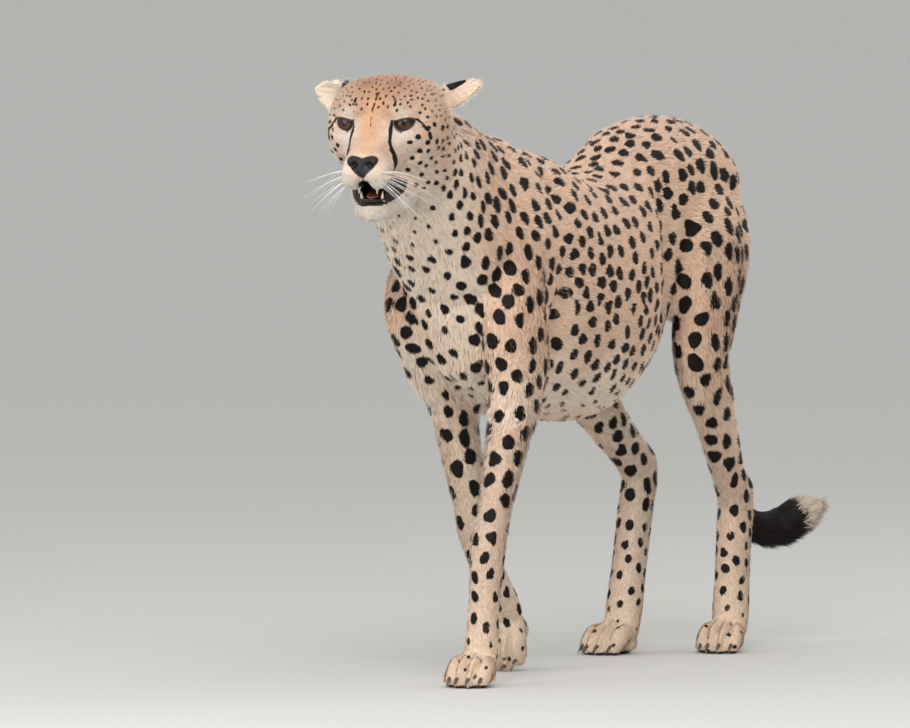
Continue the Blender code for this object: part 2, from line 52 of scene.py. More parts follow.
DRAWN_MIDDLE = np.array((-0.0028, -0.0054, 0.003))  # where the drawing's middle lies on the floor
EYE_MIDDLE = np.array((0.006, -0.599, 0.770))  # between the eyes, in the drawing
HEAD_YAW = math.radians(9)
FUSE_SIZE = 0.0026
FINE_ROUNDS, WIDE_ROUNDS = 10, 90  # of smoothing: everywhere, and away from head and feet
HIDE_TRIANGLES = 163000
FEET_THINNED = 29000  # triangles taken off the feet, which need fewer than the face
WIDEST = 0.62  # share of the trunk's height at which it is widest


def about_x(angle):
    """Turn about X: y and z trade places through cosine and sine."""
    c, s = math.cos(angle), math.sin(angle)
    return np.array([[1, 0, 0], [0, c, -s], [0, s, c]])


def about_z(angle):
    """Turn about Z: x and y trade places through cosine and sine."""
    c, s = math.cos(angle), math.sin(angle)
    return np.array([[c, -s, 0], [s, c, 0], [0, 0, 1]])


def smooth_rows(rows, count):
    """Rows of numbers on a cubic curve through all stations, spaced evenly along its chords."""
    rows = np.asarray(rows, float)
    steps = np.linalg.norm(np.diff(rows[:, :3], axis=0), axis=1)
    at = np.concatenate([[0.0], np.cumsum(steps)])
    slope = np.gradient(rows, at, axis=0)
    want = np.linspace(0.0, at[-1], count)
    low = np.clip(np.searchsorted(at, want, side="right") - 1, 0, len(at) - 2)
    span = steps[low][:, None]
    t = (want - at[low])[:, None] / span
    start = (1 + 2 * t) * (1 - t) ** 2 * rows[low] + t * (1 - t) ** 2 * span * slope[low]
    end = t * t * (3 - 2 * t) * rows[low + 1] - t * t * (1 - t) * span * slope[low + 1]
    return start + end


def grid_form(rings):
    """A closed tube from an array of rings: quads between rings, and a fan to each end's middle."""
    count, around = rings.shape[:2]
    points = np.concatenate([rings.reshape(-1, 3), rings[:1].mean(axis=1), rings[-1:].mean(axis=1)])
    ring, spoke = np.meshgrid(np.arange(count - 1), np.arange(around), indexing="ij")
    after = (spoke + 1) % around
    quads = np.stack([ring * around + spoke, ring * around + after,
                      (ring + 1) * around + after, (ring + 1) * around + spoke], axis=-1)
    spoke = np.arange(around)
    after = (spoke + 1) % around
    first = np.stack([after, spoke, np.full(around, count * around)], axis=-1)
    last = np.stack([spoke, after, np.full(around, count * around + 1)], axis=-1)
    last[:, :2] += (count - 1) * around
    return points, quads.reshape(-1, 4).tolist() + first.tolist() + last.tolist()


def tube(stations, count=40, around=28, square=2.0):
    """Rings across a path: half ellipse of one reach above and another below, squarer over 2.

    A station is x, y, z, half width, reach one way, reach the other way. A point of a ring is
    the centre plus width times cosine sideways plus reach times sine across the path.
    """
    rows = smooth_rows(stations, count)
    centre = rows[:, :3]
    along = np.gradient(centre, axis=0)
    along /= np.linalg.norm(along, axis=1)[:, None]
    side = np.array([1.0, 0.0, 0.0]) - along * along[:, :1]
    side /= np.linalg.norm(side, axis=1)[:, None]
    over = np.cross(side, along)
    angle = np.linspace(0, 2 * math.pi, around, endpoint=False)
    flat = np.sign(np.cos(angle)) * np.abs(np.cos(angle)) ** (2 / square)
    rise = np.sign(np.sin(angle)) * np.abs(np.sin(angle)) ** (2 / square)
    wide = rows[:, 3:4] * flat
    high = np.where(rise > 0, rows[:, 4:5], rows[:, 5:6]) * rise
    return grid_form(centre[:, None] + wide[..., None] * side[:, None] + high[..., None] * over[:, None])


def oval(centre, radii, rings=13, around=24):
    """A ball's latitudes and longitudes, scaled by three half sizes."""
    latitude = np.linspace(-math.pi / 2, math.pi / 2, rings + 2)[1:-1]
    angle = np.linspace(0, 2 * math.pi, around, endpoint=False)
    ball = np.stack(np.broadcast_arrays(np.cos(latitude)[:, None] * np.cos(angle),
                                        np.cos(latitude)[:, None] * np.sin(angle),
                                        np.sin(latitude)[:, None]), axis=-1)
    points, faces = grid_form(ball)
    points[-2:] = ((0, 0, -1), (0, 0, 1))
    return points * radii + centre, faces


def trunk_forms():
    """Chest, belly and rump as one form, from lines of back height, belly height and half width."""
    lines = (  # y, back, belly, half width
        (-0.391, 0.570, 0.505, 0.030),
        (-0.373, 0.615, 0.445, 0.064),
        (-0.331, 0.660, 0.398, 0.088),
        (-0.275, 0.700, 0.374, 0.098),
        (-0.210, 0.726, 0.360, 0.102),
        (-0.135, 0.723, 0.352, 0.106),
        (-0.052, 0.698, 0.345, 0.109),
        (0.023, 0.697, 0.343, 0.108),
        (0.088, 0.712, 0.364, 0.101),
        (0.153, 0.735, 0.422, 0.088),
        (0.218, 0.754, 0.496, 0.080),
        (0.283, 0.763, 0.518, 0.084),
        (0.348, 0.755, 0.534, 0.089),
        (0.395, 0.731, 0.540, 0.086),
        (0.427, 0.695, 0.560, 0.066),
        (0.441, 0.660, 0.590, 0.032),
    )
    rows = []
    for y, back, belly, wide in lines:
        middle = belly + WIDEST * (back - belly)
        rows.append((0, y, middle, wide, back - middle, middle - belly))
    return [tube(rows, 60, 40)]


def neck_forms():
    """The neck as one tube, from behind the skull down into the trunk."""
    return [tube((
        (0.004, -0.560, 0.755, 0.060, 0.055, 0.060),
        (0.003, -0.500, 0.728, 0.071, 0.088, 0.078),
        (0.001, -0.450, 0.690, 0.075, 0.116, 0.080),
        (0.000, -0.395, 0.642, 0.080, 0.146, 0.082),
        (0.000, -0.340, 0.602, 0.090, 0.168, 0.092),
        (0.000, -0.265, 0.575, 0.086, 0.164, 0.090),
        (0.000, -0.190, 0.570, 0.060, 0.152, 0.060),
        (0.000, -0.110, 0.565, 0.040, 0.118, 0.040),
    ), 44, 36, square=2.3)]


# Each leg: half sizes (side, back, front) at places between joints, then joints from the spine down.
FORE_SIZES = (
    (0.0, 0.022, 0.030, 0.030),
    (0.5, 0.032, 0.058, 0.050),
    (1.0, 0.038, 0.076, 0.058),
    (1.5, 0.039, 0.074, 0.054),
    (2.0, 0.0355, 0.058, 0.046),
    (2.25, 0.0320, 0.042, 0.038),
    (2.5, 0.0290, 0.034, 0.033),
    (2.75, 0.0255, 0.028, 0.028),
    (2.95, 0.0260, 0.030, 0.027),
    (3.1, 0.0250, 0.029, 0.026),
    (3.5, 0.0220, 0.025, 0.023),
    (3.9, 0.0240, 0.024, 0.024),
    (4.0, 0.0240, 0.022, 0.022),
)
HIND_SIZES = (
    (0.0, 0.034, 0.080, 0.060),
    (0.5, 0.042, 0.108, 0.085),
    (1.0, 0.045, 0.114, 0.088),
    (1.3, 0.044, 0.104, 0.080),
    (1.7, 0.039, 0.084, 0.068),
    (2.0, 0.036, 0.070, 0.060),
    (2.3, 0.031, 0.052, 0.050),
    (2.6, 0.0265, 0.040, 0.038),
    (2.85, 0.0240, 0.042, 0.031),
    (3.0, 0.0250, 0.042, 0.032),
    (3.15, 0.0255, 0.037, 0.033),
    (3.6, 0.0242, 0.033, 0.031),
    (3.9, 0.0265, 0.027, 0.028),
    (4.0, 0.0250, 0.024, 0.026),
)
LEFT_FORE = ((0.040, -0.210, 0.690), (0.074, -0.315, 0.520), (0.080, -0.322, 0.385),
             (0.073, -0.389, 0.190), (0.067, -0.400, 0.030))
RIGHT_FORE = ((-0.040, -0.200, 0.690), (-0.078, -0.310, 0.520), (-0.070, -0.208, 0.385),
              (-0.041, -0.190, 0.190), (-0.034, -0.106, 0.080))
LEFT_HIND = ((0.045, 0.315, 0.680), (0.070, 0.323, 0.580), (0.077, 0.285, 0.430),
             (0.066, 0.426, 0.210), (0.070, 0.400, 0.030))
RIGHT_HIND = ((-0.045, 0.305, 0.680), (-0.066, 0.285, 0.580), (-0.070, 0.172, 0.415),
              (-0.054, 0.364, 0.255), (-0.050, 0.296, 0.030))


def leg_form(joints, sizes):
    """A limb through its joints, bent smoothly, with its half sizes read at places between joints."""
    joints = np.array(joints)
    places = np.array([row[0] for row in sizes])
    number = np.arange(len(joints))
    centre = np.stack([np.interp(places, number, joints[:, axis]) for axis in range(3)], axis=1)
    return tube(np.hstack([centre, np.array(sizes)[:, 1:]]), 60, 24)


TOE_SIDES = (-0.0215, -0.0078, 0.0078, 0.0215)
TOE_REACH = (0.044, 0.054, 0.054, 0.044)


def paw_turn(paw):
    """A paw's heading about Z after its fold, which turns the toes down."""
    return about_z(paw["heading"]) @ about_x(paw.get("fold", 0.0))


def placed(forms, paw):
    """Forms drawn around a paw's heel, turned to its heading and set in place."""
    return [(points @ paw_turn(paw).T + paw["heel"], faces) for points, faces in forms]


def paw_forms(paw):
    """Pad and four arched toes. Heel is the point above the big pad."""
    spread = paw.get("spread", 1.0)
    forms = [oval((0, -0.002, -0.022), (0.0245 * spread, 0.026, 0.020)),
             oval((0, -0.006, -0.008), (0.0260 * spread, 0.030, 0.024))]
    for side, reach in zip(TOE_SIDES, TOE_REACH):
        side = side * spread
        forms.append(tube((
            (side * 0.6, 0.004, -0.012, 0.012, 0.012, 0.012),
            (side * 0.8, -reach * 0.30, -0.009, 0.0130, 0.015, 0.016),
            (side * 1.0, -reach * 0.62, -0.014, 0.0128, 0.014, 0.017),
            (side * 1.05, -reach * 0.92, -0.027, 0.0118, 0.011, 0.014),
            (side * 1.05, -reach * 1.10, -0.033, 0.0090, 0.009, 0.009),
            (side * 1.05, -reach * 1.18, -0.034, 0.0040, 0.004, 0.004),
        ), 14, 14))
    return placed(forms, paw)


PAWS = {
    "left_fore": dict(heel=(0.067, -0.403, 0.041), heading=math.radians(4)),
    "right_fore": dict(heel=(-0.034, -0.108, 0.0715), heading=math.radians(-3), fold=math.radians(50)),
    "left_hind": dict(heel=(0.070, 0.394, 0.041), heading=math.radians(5)),
    "right_hind": dict(heel=(-0.050, 0.292, 0.041), heading=math.radians(-15), spread=1.12),
}


TAIL_LINE = (  # x, y, z, half width, reach one way and the other
    (0.000, 0.350, 0.695, 0.050, 0.045, 0.050),
    (0.000, 0.400, 0.675, 0.040, 0.034, 0.040),
    (0.000, 0.440, 0.610, 0.027, 0.026, 0.028),
    (0.000, 0.476, 0.520, 0.022, 0.022, 0.022),
    (0.000, 0.500, 0.420, 0.020, 0.020, 0.020),
    (0.000, 0.522, 0.320, 0.019, 0.019, 0.019),
    (0.002, 0.548, 0.220, 0.020, 0.020, 0.020),
    (0.012, 0.575, 0.178, 0.022, 0.022, 0.022),
    (0.032, 0.600, 0.166, 0.024, 0.024, 0.024),
    (0.054, 0.618, 0.172, 0.025, 0.025, 0.025),
    (0.074, 0.630, 0.184, 0.022, 0.022, 0.022),
    (0.090, 0.638, 0.191, 0.013, 0.013, 0.013),
    (0.099, 0.642, 0.194, 0.003, 0.003, 0.003),
)


def tail_forms():
    """The tail as one round tube along its line."""
    return [tube(TAIL_LINE, 90, 18)]


def head_forms():
    """Skull, muzzle, cheeks and lower jaw in the head's own axes: left, back and up from the eyes."""
    skull = tube((
        (0, -0.0585, -0.057, 0.0110, 0.009, 0.011),
        (0, -0.0540, -0.057, 0.0200, 0.015, 0.018),
        (0, -0.0440, -0.055, 0.0285, 0.020, 0.025),
        (0, -0.0300, -0.051, 0.0330, 0.024, 0.030),
        (0, -0.0150, -0.044, 0.0370, 0.030, 0.036),
        (0, 0.0000, -0.034, 0.0450, 0.038, 0.044),
        (0, 0.0120, -0.024, 0.0590, 0.045, 0.052),
        (0, 0.0250, -0.018, 0.0710, 0.055, 0.056),
        (0, 0.0450, -0.010, 0.0780, 0.063, 0.062),
        (0, 0.0700, -0.003, 0.0800, 0.064, 0.068),
        (0, 0.0950, 0.000, 0.0780, 0.061, 0.072),
        (0, 0.1200, -0.002, 0.0720, 0.055, 0.075),
        (0, 0.1450, -0.006, 0.0640, 0.045, 0.070),
    ), 60, 40, square=2.5)
    jaw = tube((
        (0, -0.0240, -0.119, 0.0080, 0.007, 0.007),
        (0, -0.0190, -0.119, 0.0190, 0.0155, 0.012),
        (0, -0.0060, -0.118, 0.0260, 0.0155, 0.015),
        (0, 0.0150, -0.112, 0.0330, 0.016, 0.019),
        (0, 0.0400, -0.098, 0.0430, 0.026, 0.028),
        (0, 0.0750, -0.075, 0.0560, 0.040, 0.040),
        (0, 0.1100, -0.060, 0.0600, 0.050, 0.050),
    ), 40, 28, square=2.3)
    lip_corner = tube((
        (0, -0.0100, -0.094, 0.0300, 0.016, 0.016),
        (0, 0.0000, -0.093, 0.0340, 0.018, 0.018),
        (0, 0.0300, -0.080, 0.0420, 0.026, 0.026),
        (0, 0.0600, -0.070, 0.0450, 0.030, 0.030),
    ), 16, 24, square=2.6)
    return [skull, jaw, lip_corner]


# Swellings and hollows of the face: where, how wide, and how far it moves left, back and up.
FACE_SHAPES = (
    ((0.0190, -0.046, -0.066), 0.013, (0.0040, -0.0040, -0.0010)),  # whisker pads
    ((0.0300, -0.028, -0.036), 0.016, (-0.0070, 0.0010, 0.0010)),  # hollow beside the nose
    ((0.0380, 0.0040, 0.018), 0.013, (0.0010, -0.0060, 0.0020)),  # brow
    ((0.0370, -0.011, -0.002), 0.018, (0.0000, 0.0135, 0.0000)),  # eye socket
    ((0.0560, 0.0160, -0.026), 0.018, (0.0030, -0.0030, 0.0000)),  # cheekbone
    ((0.0400, 0.0150, -0.070), 0.016, (-0.0050, 0.0030, 0.0020)),  # hollow behind the lips
)


def ear_form(base, tip, opening, width=0.023, depth=0.018):
    """A cupped ear: crescent sections from its root to its rounded tip, hollow towards its opening."""
    base, tip = np.array(base), np.array(tip)
    along = (tip - base) / np.linalg.norm(tip - base)
    opening = np.array(opening, float)
    opening -= along * opening.dot(along)
    opening /= np.linalg.norm(opening)
    across = np.cross(along, opening)
    rise = np.linspace(0, 1, 18)[:, None]
    spread = width * np.clip(1 - rise ** 2.4, 0, 1) ** 0.6 + 0.004
    hollow = depth * (1 - rise) ** 0.8 + 0.004
    wall = 0.0075 - 0.002 * rise
    angle = np.linspace(0, math.pi, 13)
    back = np.stack([spread * np.cos(angle), -hollow * np.sin(angle)], axis=-1)
    turn = angle[::-1][1:-1]
    inner = np.stack([(spread - wall * 0.4) * np.cos(turn),
                      (wall - hollow) * np.sin(turn) + wall * 0.5], axis=-1)
    section = np.concatenate([back, inner], axis=1)
    centre = base + (tip - base) * rise
    rings = centre[:, None] + section[..., :1] * across + section[..., 1:] * opening
    return grid_form(rings[:, ::-1])


EARS = {
    "ear_left": dict(base=(0.056, 0.092, 0.020), tip=(0.114, 0.118, 0.054),
                     opening=(0.55, 0.70, -0.35)),
    "ear_right": dict(base=(-0.054, 0.086, 0.020), tip=(-0.113, 0.104, 0.042),
                      opening=(-0.30, -0.85, -0.30)),
}


def to_body(points):
    """Head axes (left, back, up from between the eyes) to the body's own."""
    return np.asarray(points) @ about_z(HEAD_YAW).T + EYE_MIDDLE


def joined(forms):
    """Several closed forms as one list of points and one of faces."""
    points, faces, start = [], [], 0
    for form_points, form_faces in forms:
        points.append(form_points)
        faces += [[corner + start for corner in face] for face in form_faces]
        start += len(form_points)
    return np.concatenate(points), faces


def worked(mesh, change):
    """A mesh opened for a change to its faces and edges, and written back."""
    shell = bmesh.new()
    shell.from_mesh(mesh)
    change(shell)
    shell.to_mesh(mesh)
    shell.free()


def outward(shell):
    bmesh.ops.recalc_face_normals(shell, faces=shell.faces)


def three_sided(shell):
    bmesh.ops.triangulate(shell, faces=shell.faces)


def add_mesh(name, points, faces):
    """A mesh object at the origin from points and faces, shaded smooth, its faces turned outward."""
    mesh = bpy.data.meshes.new(name)
    mesh.from_pydata([tuple(point) for point in points], [], faces)
    worked(mesh, outward)
    mesh.shade_smooth()
    made = bpy.data.objects.new(name, mesh)
    bpy.context.scene.collection.objects.link(made)
    return made


def settle(made):
    """The object's modifiers worked into its mesh."""
    graph = bpy.context.evaluated_depsgraph_get()
    mesh = bpy.data.meshes.new_from_object(made.evaluated_get(graph), depsgraph=graph)
    made.modifiers.clear()
    made.data = mesh


def points_of(mesh):
    """All points of a mesh as rows of x, y, z."""
    flat = np.empty(len(mesh.vertices) * 3, np.float32)
    mesh.vertices.foreach_get("co", flat)
    return flat.reshape(-1, 3).astype(float)


def triangles_of(mesh):
    """All faces of a mesh as rows of three point numbers."""
    mesh.calc_loop_triangles()
    flat = np.empty(len(mesh.loop_triangles) * 3, np.int32)
    mesh.loop_triangles.foreach_get("vertices", flat)
    return flat.reshape(-1, 3)


def normals_at(points, triangles):
    """Outward direction at each point: the sum of its triangles' cross products, at length one."""
    a, b, c = (points[triangles[:, k]] for k in range(3))
    cross = np.cross(b - a, c - a)
    total = np.stack([sum(np.bincount(triangles[:, k], cross[:, axis], len(points)) for k in range(3))
                      for axis in range(3)], axis=-1)
    return total / np.maximum(np.linalg.norm(total, axis=1), 1e-12)[:, None]


def blend(low, high, value):
    """0 below low, 1 above high, and a smooth step between them."""
    t = np.clip((value - low) / (high - low), 0, 1)
    return t * t * (3 - 2 * t)


def weigh(made, name, weight):
    """A vertex group holding each point's weight, in steps of a tenth."""
    group = made.vertex_groups.new(name=name)
    steps = np.round(weight, 1)
    for level in np.unique(steps):
        group.add(np.flatnonzero(steps == level).tolist(), float(level), "REPLACE")


forms = trunk_forms() + neck_forms() + tail_forms()
forms += [leg_form(LEFT_FORE, FORE_SIZES), leg_form(RIGHT_FORE, FORE_SIZES)]
forms += [leg_form(LEFT_HIND, HIND_SIZES), leg_form(RIGHT_HIND, HIND_SIZES)]
for paw in PAWS.values():
    forms += paw_forms(paw)
for points, faces in head_forms() + [ear_form(**ear) for ear in EARS.values()]:
    forms.append((to_body(points), faces))

hide = add_mesh("hide", *joined(forms))
fuse = hide.modifiers.new("fuse", "REMESH")
fuse.mode = "VOXEL"
fuse.voxel_size = FUSE_SIZE
settle(hide)
points = points_of(hide.data)
weigh(hide, "broad", blend(-0.49, -0.41, points[:, 1]) * blend(0.08, 0.16, points[:, 2]))
weigh(hide, "feet", blend(0.16, 0.12, points[:, 2]))
triangles_now = 2 * len(hide.data.polygons)
for name, rounds, group in (("fine", FINE_ROUNDS, ""), ("wide", WIDE_ROUNDS, "broad")):
    smooth = hide.modifiers.new(name, "SMOOTH")
    smooth.iterations = rounds
    smooth.vertex_group = group
for group, left in (("feet", triangles_now - FEET_THINNED), ("broad", HIDE_TRIANGLES)):
    thin = hide.modifiers.new("thin " + group, "DECIMATE")
    thin.ratio = left / triangles_now
    thin.use_collapse_triangulate = True
    thin.vertex_group = group
    triangles_now = left
settle(hide)


def head_axes(points):
    """Left, back and up from between the eyes, for points of the drawing."""
    return (points - EYE_MIDDLE) @ about_z(HEAD_YAW)


def face_divided(shell):
    """The front of the face divided once more, so that lids, nostrils and lips have points enough."""
    shell.verts.ensure_lookup_table()
    aside, back, up = head_axes(np.array([vertex.co[:] for vertex in shell.verts])).T
    aside = np.abs(aside)
    front = (np.hypot(aside - 0.038, up) < 0.025) & (back < 0.03)  # round the eyes
    front |= (back < 0.012) & (up < -0.030) & (up > -0.125) & (aside < 0.045)  # nose, lips and chin
    front |= (np.hypot(back - 0.005, up + 0.090) < 0.030) & (aside < 0.060)  # corners of the mouth
    edges = [edge for edge in shell.edges if front[edge.verts[0].index] and front[edge.verts[1].index]]
    bmesh.ops.subdivide_edges(shell, edges=edges, cuts=1, use_grid_fill=True)
    three_sided(shell)


worked(hide.data, face_divided)


# The mouth's hollow is cut out of the hide, with a lining of its own.
def mouth_form():
    """The hollow from in front of the lips back to the throat: rings of a flat tube."""
    points, faces = tube((
        (0, -0.0750, -0.0945, 0.0240, 0.0105, 0.0095),
        (0, -0.0450, -0.0945, 0.0240, 0.0110, 0.0095),
        (0, -0.0200, -0.0930, 0.0235, 0.0130, 0.0105),
        (0, 0.0050, -0.0890, 0.0210, 0.0140, 0.0140),
        (0, 0.0300, -0.0840, 0.0190, 0.0100, 0.0120),
        (0, 0.0450, -0.0810, 0.0100, 0.0050, 0.0060),
    ), 40, 60, square=2.5)
    upper = blend(-0.0960, -0.0860, points[:, 2]) * blend(-0.005, -0.025, points[:, 1])
    points[:, 2] += upper * (0.0065 - 0.0125 * blend(0.003, 0.019, np.abs(points[:, 0])))
    return points, faces


form_points, form_faces = mouth_form()
cutter = add_mesh("mouth_cutter", to_body(form_points), form_faces)
cutter.data.polygons.foreach_set("material_index", np.ones(len(cutter.data.polygons), np.int32))
for name in ("hide", "mouth lining"):
    hide.data.materials.append(bpy.data.materials.new(name))
    cutter.data.materials.append(bpy.data.materials[name])
carve = hide.modifiers.new("mouth", "BOOLEAN")
carve.operation = "DIFFERENCE"
carve.solver = "EXACT"
carve.object = cutter
settle(hide)
bpy.data.objects.remove(cutter)
worked(hide.data, three_sided)
hide.data.shade_smooth()


def pushed(points, shapes):
    """Moves of soft swellings on both sides: each push times e to minus (distance / width) squared."""
    moved = np.zeros_like(points)
    for place, width, push in shapes:
        for side in (1, -1):
            mirror = np.array([side, 1, 1])
            away = np.linalg.norm(points - place * mirror, axis=1)
            moved += np.exp(-(away / width) ** 2)[:, None] * (push * mirror)
    return moved


points = points_of(hide.data)
triangles = triangles_of(hide.data)
lining = np.empty(len(triangles), np.int32)
hide.data.polygons.foreach_get("material_index", lining)
outside = np.bincount(triangles[lining == 0].ravel(), minlength=len(points)) > 0
points += pushed(head_axes(points), FACE_SHAPES) @ about_z(HEAD_YAW).T


def along_capsule(points, start, end):
    """Distance of each point from the line between two places, and how far along it lies, 0 to 1."""
    start, end = np.asarray(start, float), np.asarray(end, float)
    line = end - start
    share = np.clip((points - start) @ line / line.dot(line), 0, 1)
    return np.linalg.norm(points - start - share[:, None] * line, axis=1), share


SKULL_MIDDLE = (0, 0.03, -0.02)
FACE_MIDDLE = (0, 0.02, -0.02)


def nearness(local, middle, near, far):
    """1 within one distance of a place and 0 past another, for points in head axes."""
    return 1 - blend(near, far, np.linalg.norm(local - middle, axis=1))


def coat_depth(points):
    """How far the coat stands over the hide: least on face, ears and feet, most under the belly."""
    y, z = points[:, 1], points[:, 2]
    local = head_axes(points)
    head = nearness(local, SKULL_MIDDLE, 0.085, 0.17)
    depth = 0.0050 + 0.0025 * blend(0.45, 0.36, z) * blend(0.28, 0.34, z)
    for share, new in (
        (blend(0.30, 0.10, z), 0.0018),  # legs and feet
        (head, 0.0026),
        (head * (1 - blend(0.00, 0.07, local[:, 1])), 0.0012),  # face
        (blend(0.42, 0.47, y), 0.0045),  # tail
    ):
        depth = depth + (new - depth) * share
    for ear in EARS.values():
        away, share = along_capsule(local, ear["base"], ear["tip"])
        on_ear = (1 - blend(0.028, 0.040, away)) * blend(0.0, 0.3, share)
        depth = depth + (0.0010 - depth) * on_ear
    return depth


# Muscle, bone and sinew under the hide: line between two places, width, and rise along the surface.
FORMS_UNDER = (
    ((0.062, -0.245, 0.700), (0.090, -0.290, 0.540), 0.026, 0.0070),  # ridge of the shoulder blade
    ((0.026, -0.225, 0.735), (0.034, -0.205, 0.728), 0.020, 0.0065),  # top of the blade
    ((0.062, -0.300, 0.680), (0.088, -0.372, 0.540), 0.017, -0.0087),  # groove before the shoulder
    ((0.076, -0.186, 0.705), (0.096, -0.212, 0.430), 0.017, -0.0165),  # groove behind the shoulder and arm
    ((0.092, -0.268, 0.425), (0.088, -0.262, 0.395), 0.016, 0.0058),  # elbow
    ((0.100, -0.300, 0.500), (0.100, -0.275, 0.440), 0.020, 0.0058),  # back of the upper arm
    ((0.070, -0.385, 0.470), (0.060, -0.392, 0.505), 0.022, 0.0058),  # point of the shoulder
    ((0.094, 0.160, 0.650), (0.086, 0.180, 0.490), 0.028, -0.0150),  # hollow of the flank
    ((0.066, -0.440, 0.770), (0.020, -0.450, 0.805), 0.028, -0.0175),  # nape behind the ear
    ((0.020, -0.070, 0.700), (0.020, 0.080, 0.708), 0.045, -0.0065),  # dip of the back
    ((0.060, 0.205, 0.738), (0.075, 0.225, 0.700), 0.022, 0.0072),  # hip bone
    ((0.090, 0.238, 0.660), (0.098, 0.250, 0.480), 0.020, 0.0080),  # front of the thigh
    ((0.095, 0.375, 0.660), (0.098, 0.360, 0.500), 0.015, -0.0065),  # seam at the back of the thigh
    ((0.100, 0.310, 0.610), (0.104, 0.310, 0.520), 0.028, 0.0051),  # broad muscle of the thigh
)
LIMB_FORMS = (
    ((0.085, 0.385, 0.335), (0.078, 0.425, 0.262), 0.011, -0.0050),  # before the left heel cord
    ((-0.075, 0.285, 0.335), (-0.066, 0.345, 0.290), 0.011, -0.0050),  # before the right heel cord
    ((0.094, -0.345, 0.360), (0.090, -0.375, 0.250), 0.008, -0.0020),  # between the forearm's muscles
    ((0.060, -0.420, 0.190), (0.080, -0.420, 0.190), 0.016, 0.0020),  # left wrist
    ((0.050, 0.445, 0.235), (0.085, 0.445, 0.235), 0.014, 0.0025),  # left heel
    ((-0.075, 0.385, 0.275), (-0.040, 0.385, 0.275), 0.014, 0.0025),  # right heel
)
# Places across a paw: of the grooves between its toes, and of the low knuckle over each toe.
GROOVES, GROOVE_DEPTH, GROOVE_WIDTH = (-0.0156, 0.0, 0.0156), 0.0048, 0.0030
KNUCKLES, KNUCKLE_RISE, KNUCKLE_WIDTH = (-0.0226, -0.0082, 0.0082, 0.0226), 0.0016, 0.0050
KNUCKLE_BACK, KNUCKLE_LONG = 0.036, 0.012
RIB_RISE, RIB_SPACING, RIB_LEAN = 0.0011, 0.036, 0.35

normals = normals_at(points, triangles)
rise = -coat_depth(points)
for start, end, width, height in FORMS_UNDER:
    for side in (1, -1):
        away = along_capsule(points, np.multiply(start, (side, 1, 1)), np.multiply(end, (side, 1, 1)))[0]
        rise += height * np.exp(-(away / width) ** 2)
for start, end, width, height in LIMB_FORMS:
    rise += height * np.exp(-(along_capsule(points, start, end)[0] / width) ** 2)
for paw in PAWS.values():
    across, along, high = ((points - paw["heel"]) @ paw_turn(paw)).T
    across = across / paw.get("spread", 1.0)
    here = blend(-0.012, -0.030, along) * blend(-0.082, -0.070, along) * blend(-0.040, -0.030, high)
    here *= blend(0.050, 0.040, np.abs(across)) * blend(0.050, 0.030, high)
    for place in GROOVES:
        rise -= GROOVE_DEPTH * here * np.exp(-((across - place) / GROOVE_WIDTH) ** 2)
    for place in KNUCKLES:
        rise += KNUCKLE_RISE * here * np.exp(-((across - place) / KNUCKLE_WIDTH) ** 2
                                             - ((along + KNUCKLE_BACK) / KNUCKLE_LONG) ** 2)
ribs = blend(-0.22, -0.16, points[:, 1]) * blend(0.12, 0.06, points[:, 1])
ribs *= blend(0.40, 0.46, points[:, 2]) * blend(0.68, 0.60, points[:, 2])
rise += RIB_RISE * ribs * np.sin(2 * math.pi * (points[:, 1] - RIB_LEAN * points[:, 2]) / RIB_SPACING)
points += normals * (rise * outside)[:, None]
points -= DRAWN_MIDDLE

# Head axes in the finished frame come from the solids' own eyes: left, back and up.
eye_boxes = {side: np.array(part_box(name)) for side, name in ((1, "eye_left"), (-1, "eye_right"))}
eye_radius = np.ptp(eye_boxes[1][:, 2]) / 2
eye_centres = {side: box.mean(axis=0) for side, box in eye_boxes.items()}
leftward = eye_centres[1] - eye_centres[-1]
leftward /= np.linalg.norm(leftward)
HEAD_AXES = np.stack([leftward, np.cross((0, 0, 1), leftward), (0, 0, 1)])
EYE_BACK = 0.0130  # of the eyeballs' middles, behind the point midway between the eyes
head_middle = (eye_centres[1] + eye_centres[-1]) / 2 - EYE_BACK * HEAD_AXES[1]


def to_head(points):
    """Left, back and up from between the eyes."""
    return (np.asarray(points) - head_middle) @ HEAD_AXES.T


def from_head(local):
    """The finished frame's x, y and z of places given as left, back and up."""
    return np.asarray(local) @ HEAD_AXES + head_middle


# Fleshy forms of the face: place, width and push, each as left, back, up, on both sides.
MUZZLE_FORMS = (
    ((0.0215, -0.0430, -0.0740), 0.0130, (0.0035, -0.0030, -0.0045)),  # whisker pads
    ((0.0110, -0.0560, -0.0700), 0.0070, (0.0000, -0.0015, -0.0010)),  # lip beside the groove
    ((0.0000, -0.0570, -0.0760), 0.0045, (0.0000, 0.0022, 0.0010)),  # groove under the nose
    ((0.0150, -0.0560, -0.0500), 0.0065, (0.0015, -0.0020, 0.0010)),  # wings of the nose
    ((0.0000, -0.0300, -0.0150), 0.0130, (0.0000, -0.0015, 0.0015)),  # bridge
    ((0.0240, -0.0150, -0.0120), 0.0100, (-0.0030, 0.0020, 0.0000)),  # side of the bridge
    ((0.0360, -0.0030, 0.0160), 0.0110, (0.0000, -0.0045, -0.0010)),  # brow over the eye
    ((0.0640, 0.0250, -0.0480), 0.0240, (0.0035, -0.0020, -0.0010)),  # cheek
    ((0.0000, -0.0220, -0.1230), 0.0110, (0.0000, -0.0030, -0.0010)),  # chin
    ((0.0420, 0.0300, -0.0950), 0.0140, (0.0030, 0.0000, -0.0020)),  # flews beside the corner
)
PAD_HANG = 0.0105  # of the whisker pads over the corners of the opening
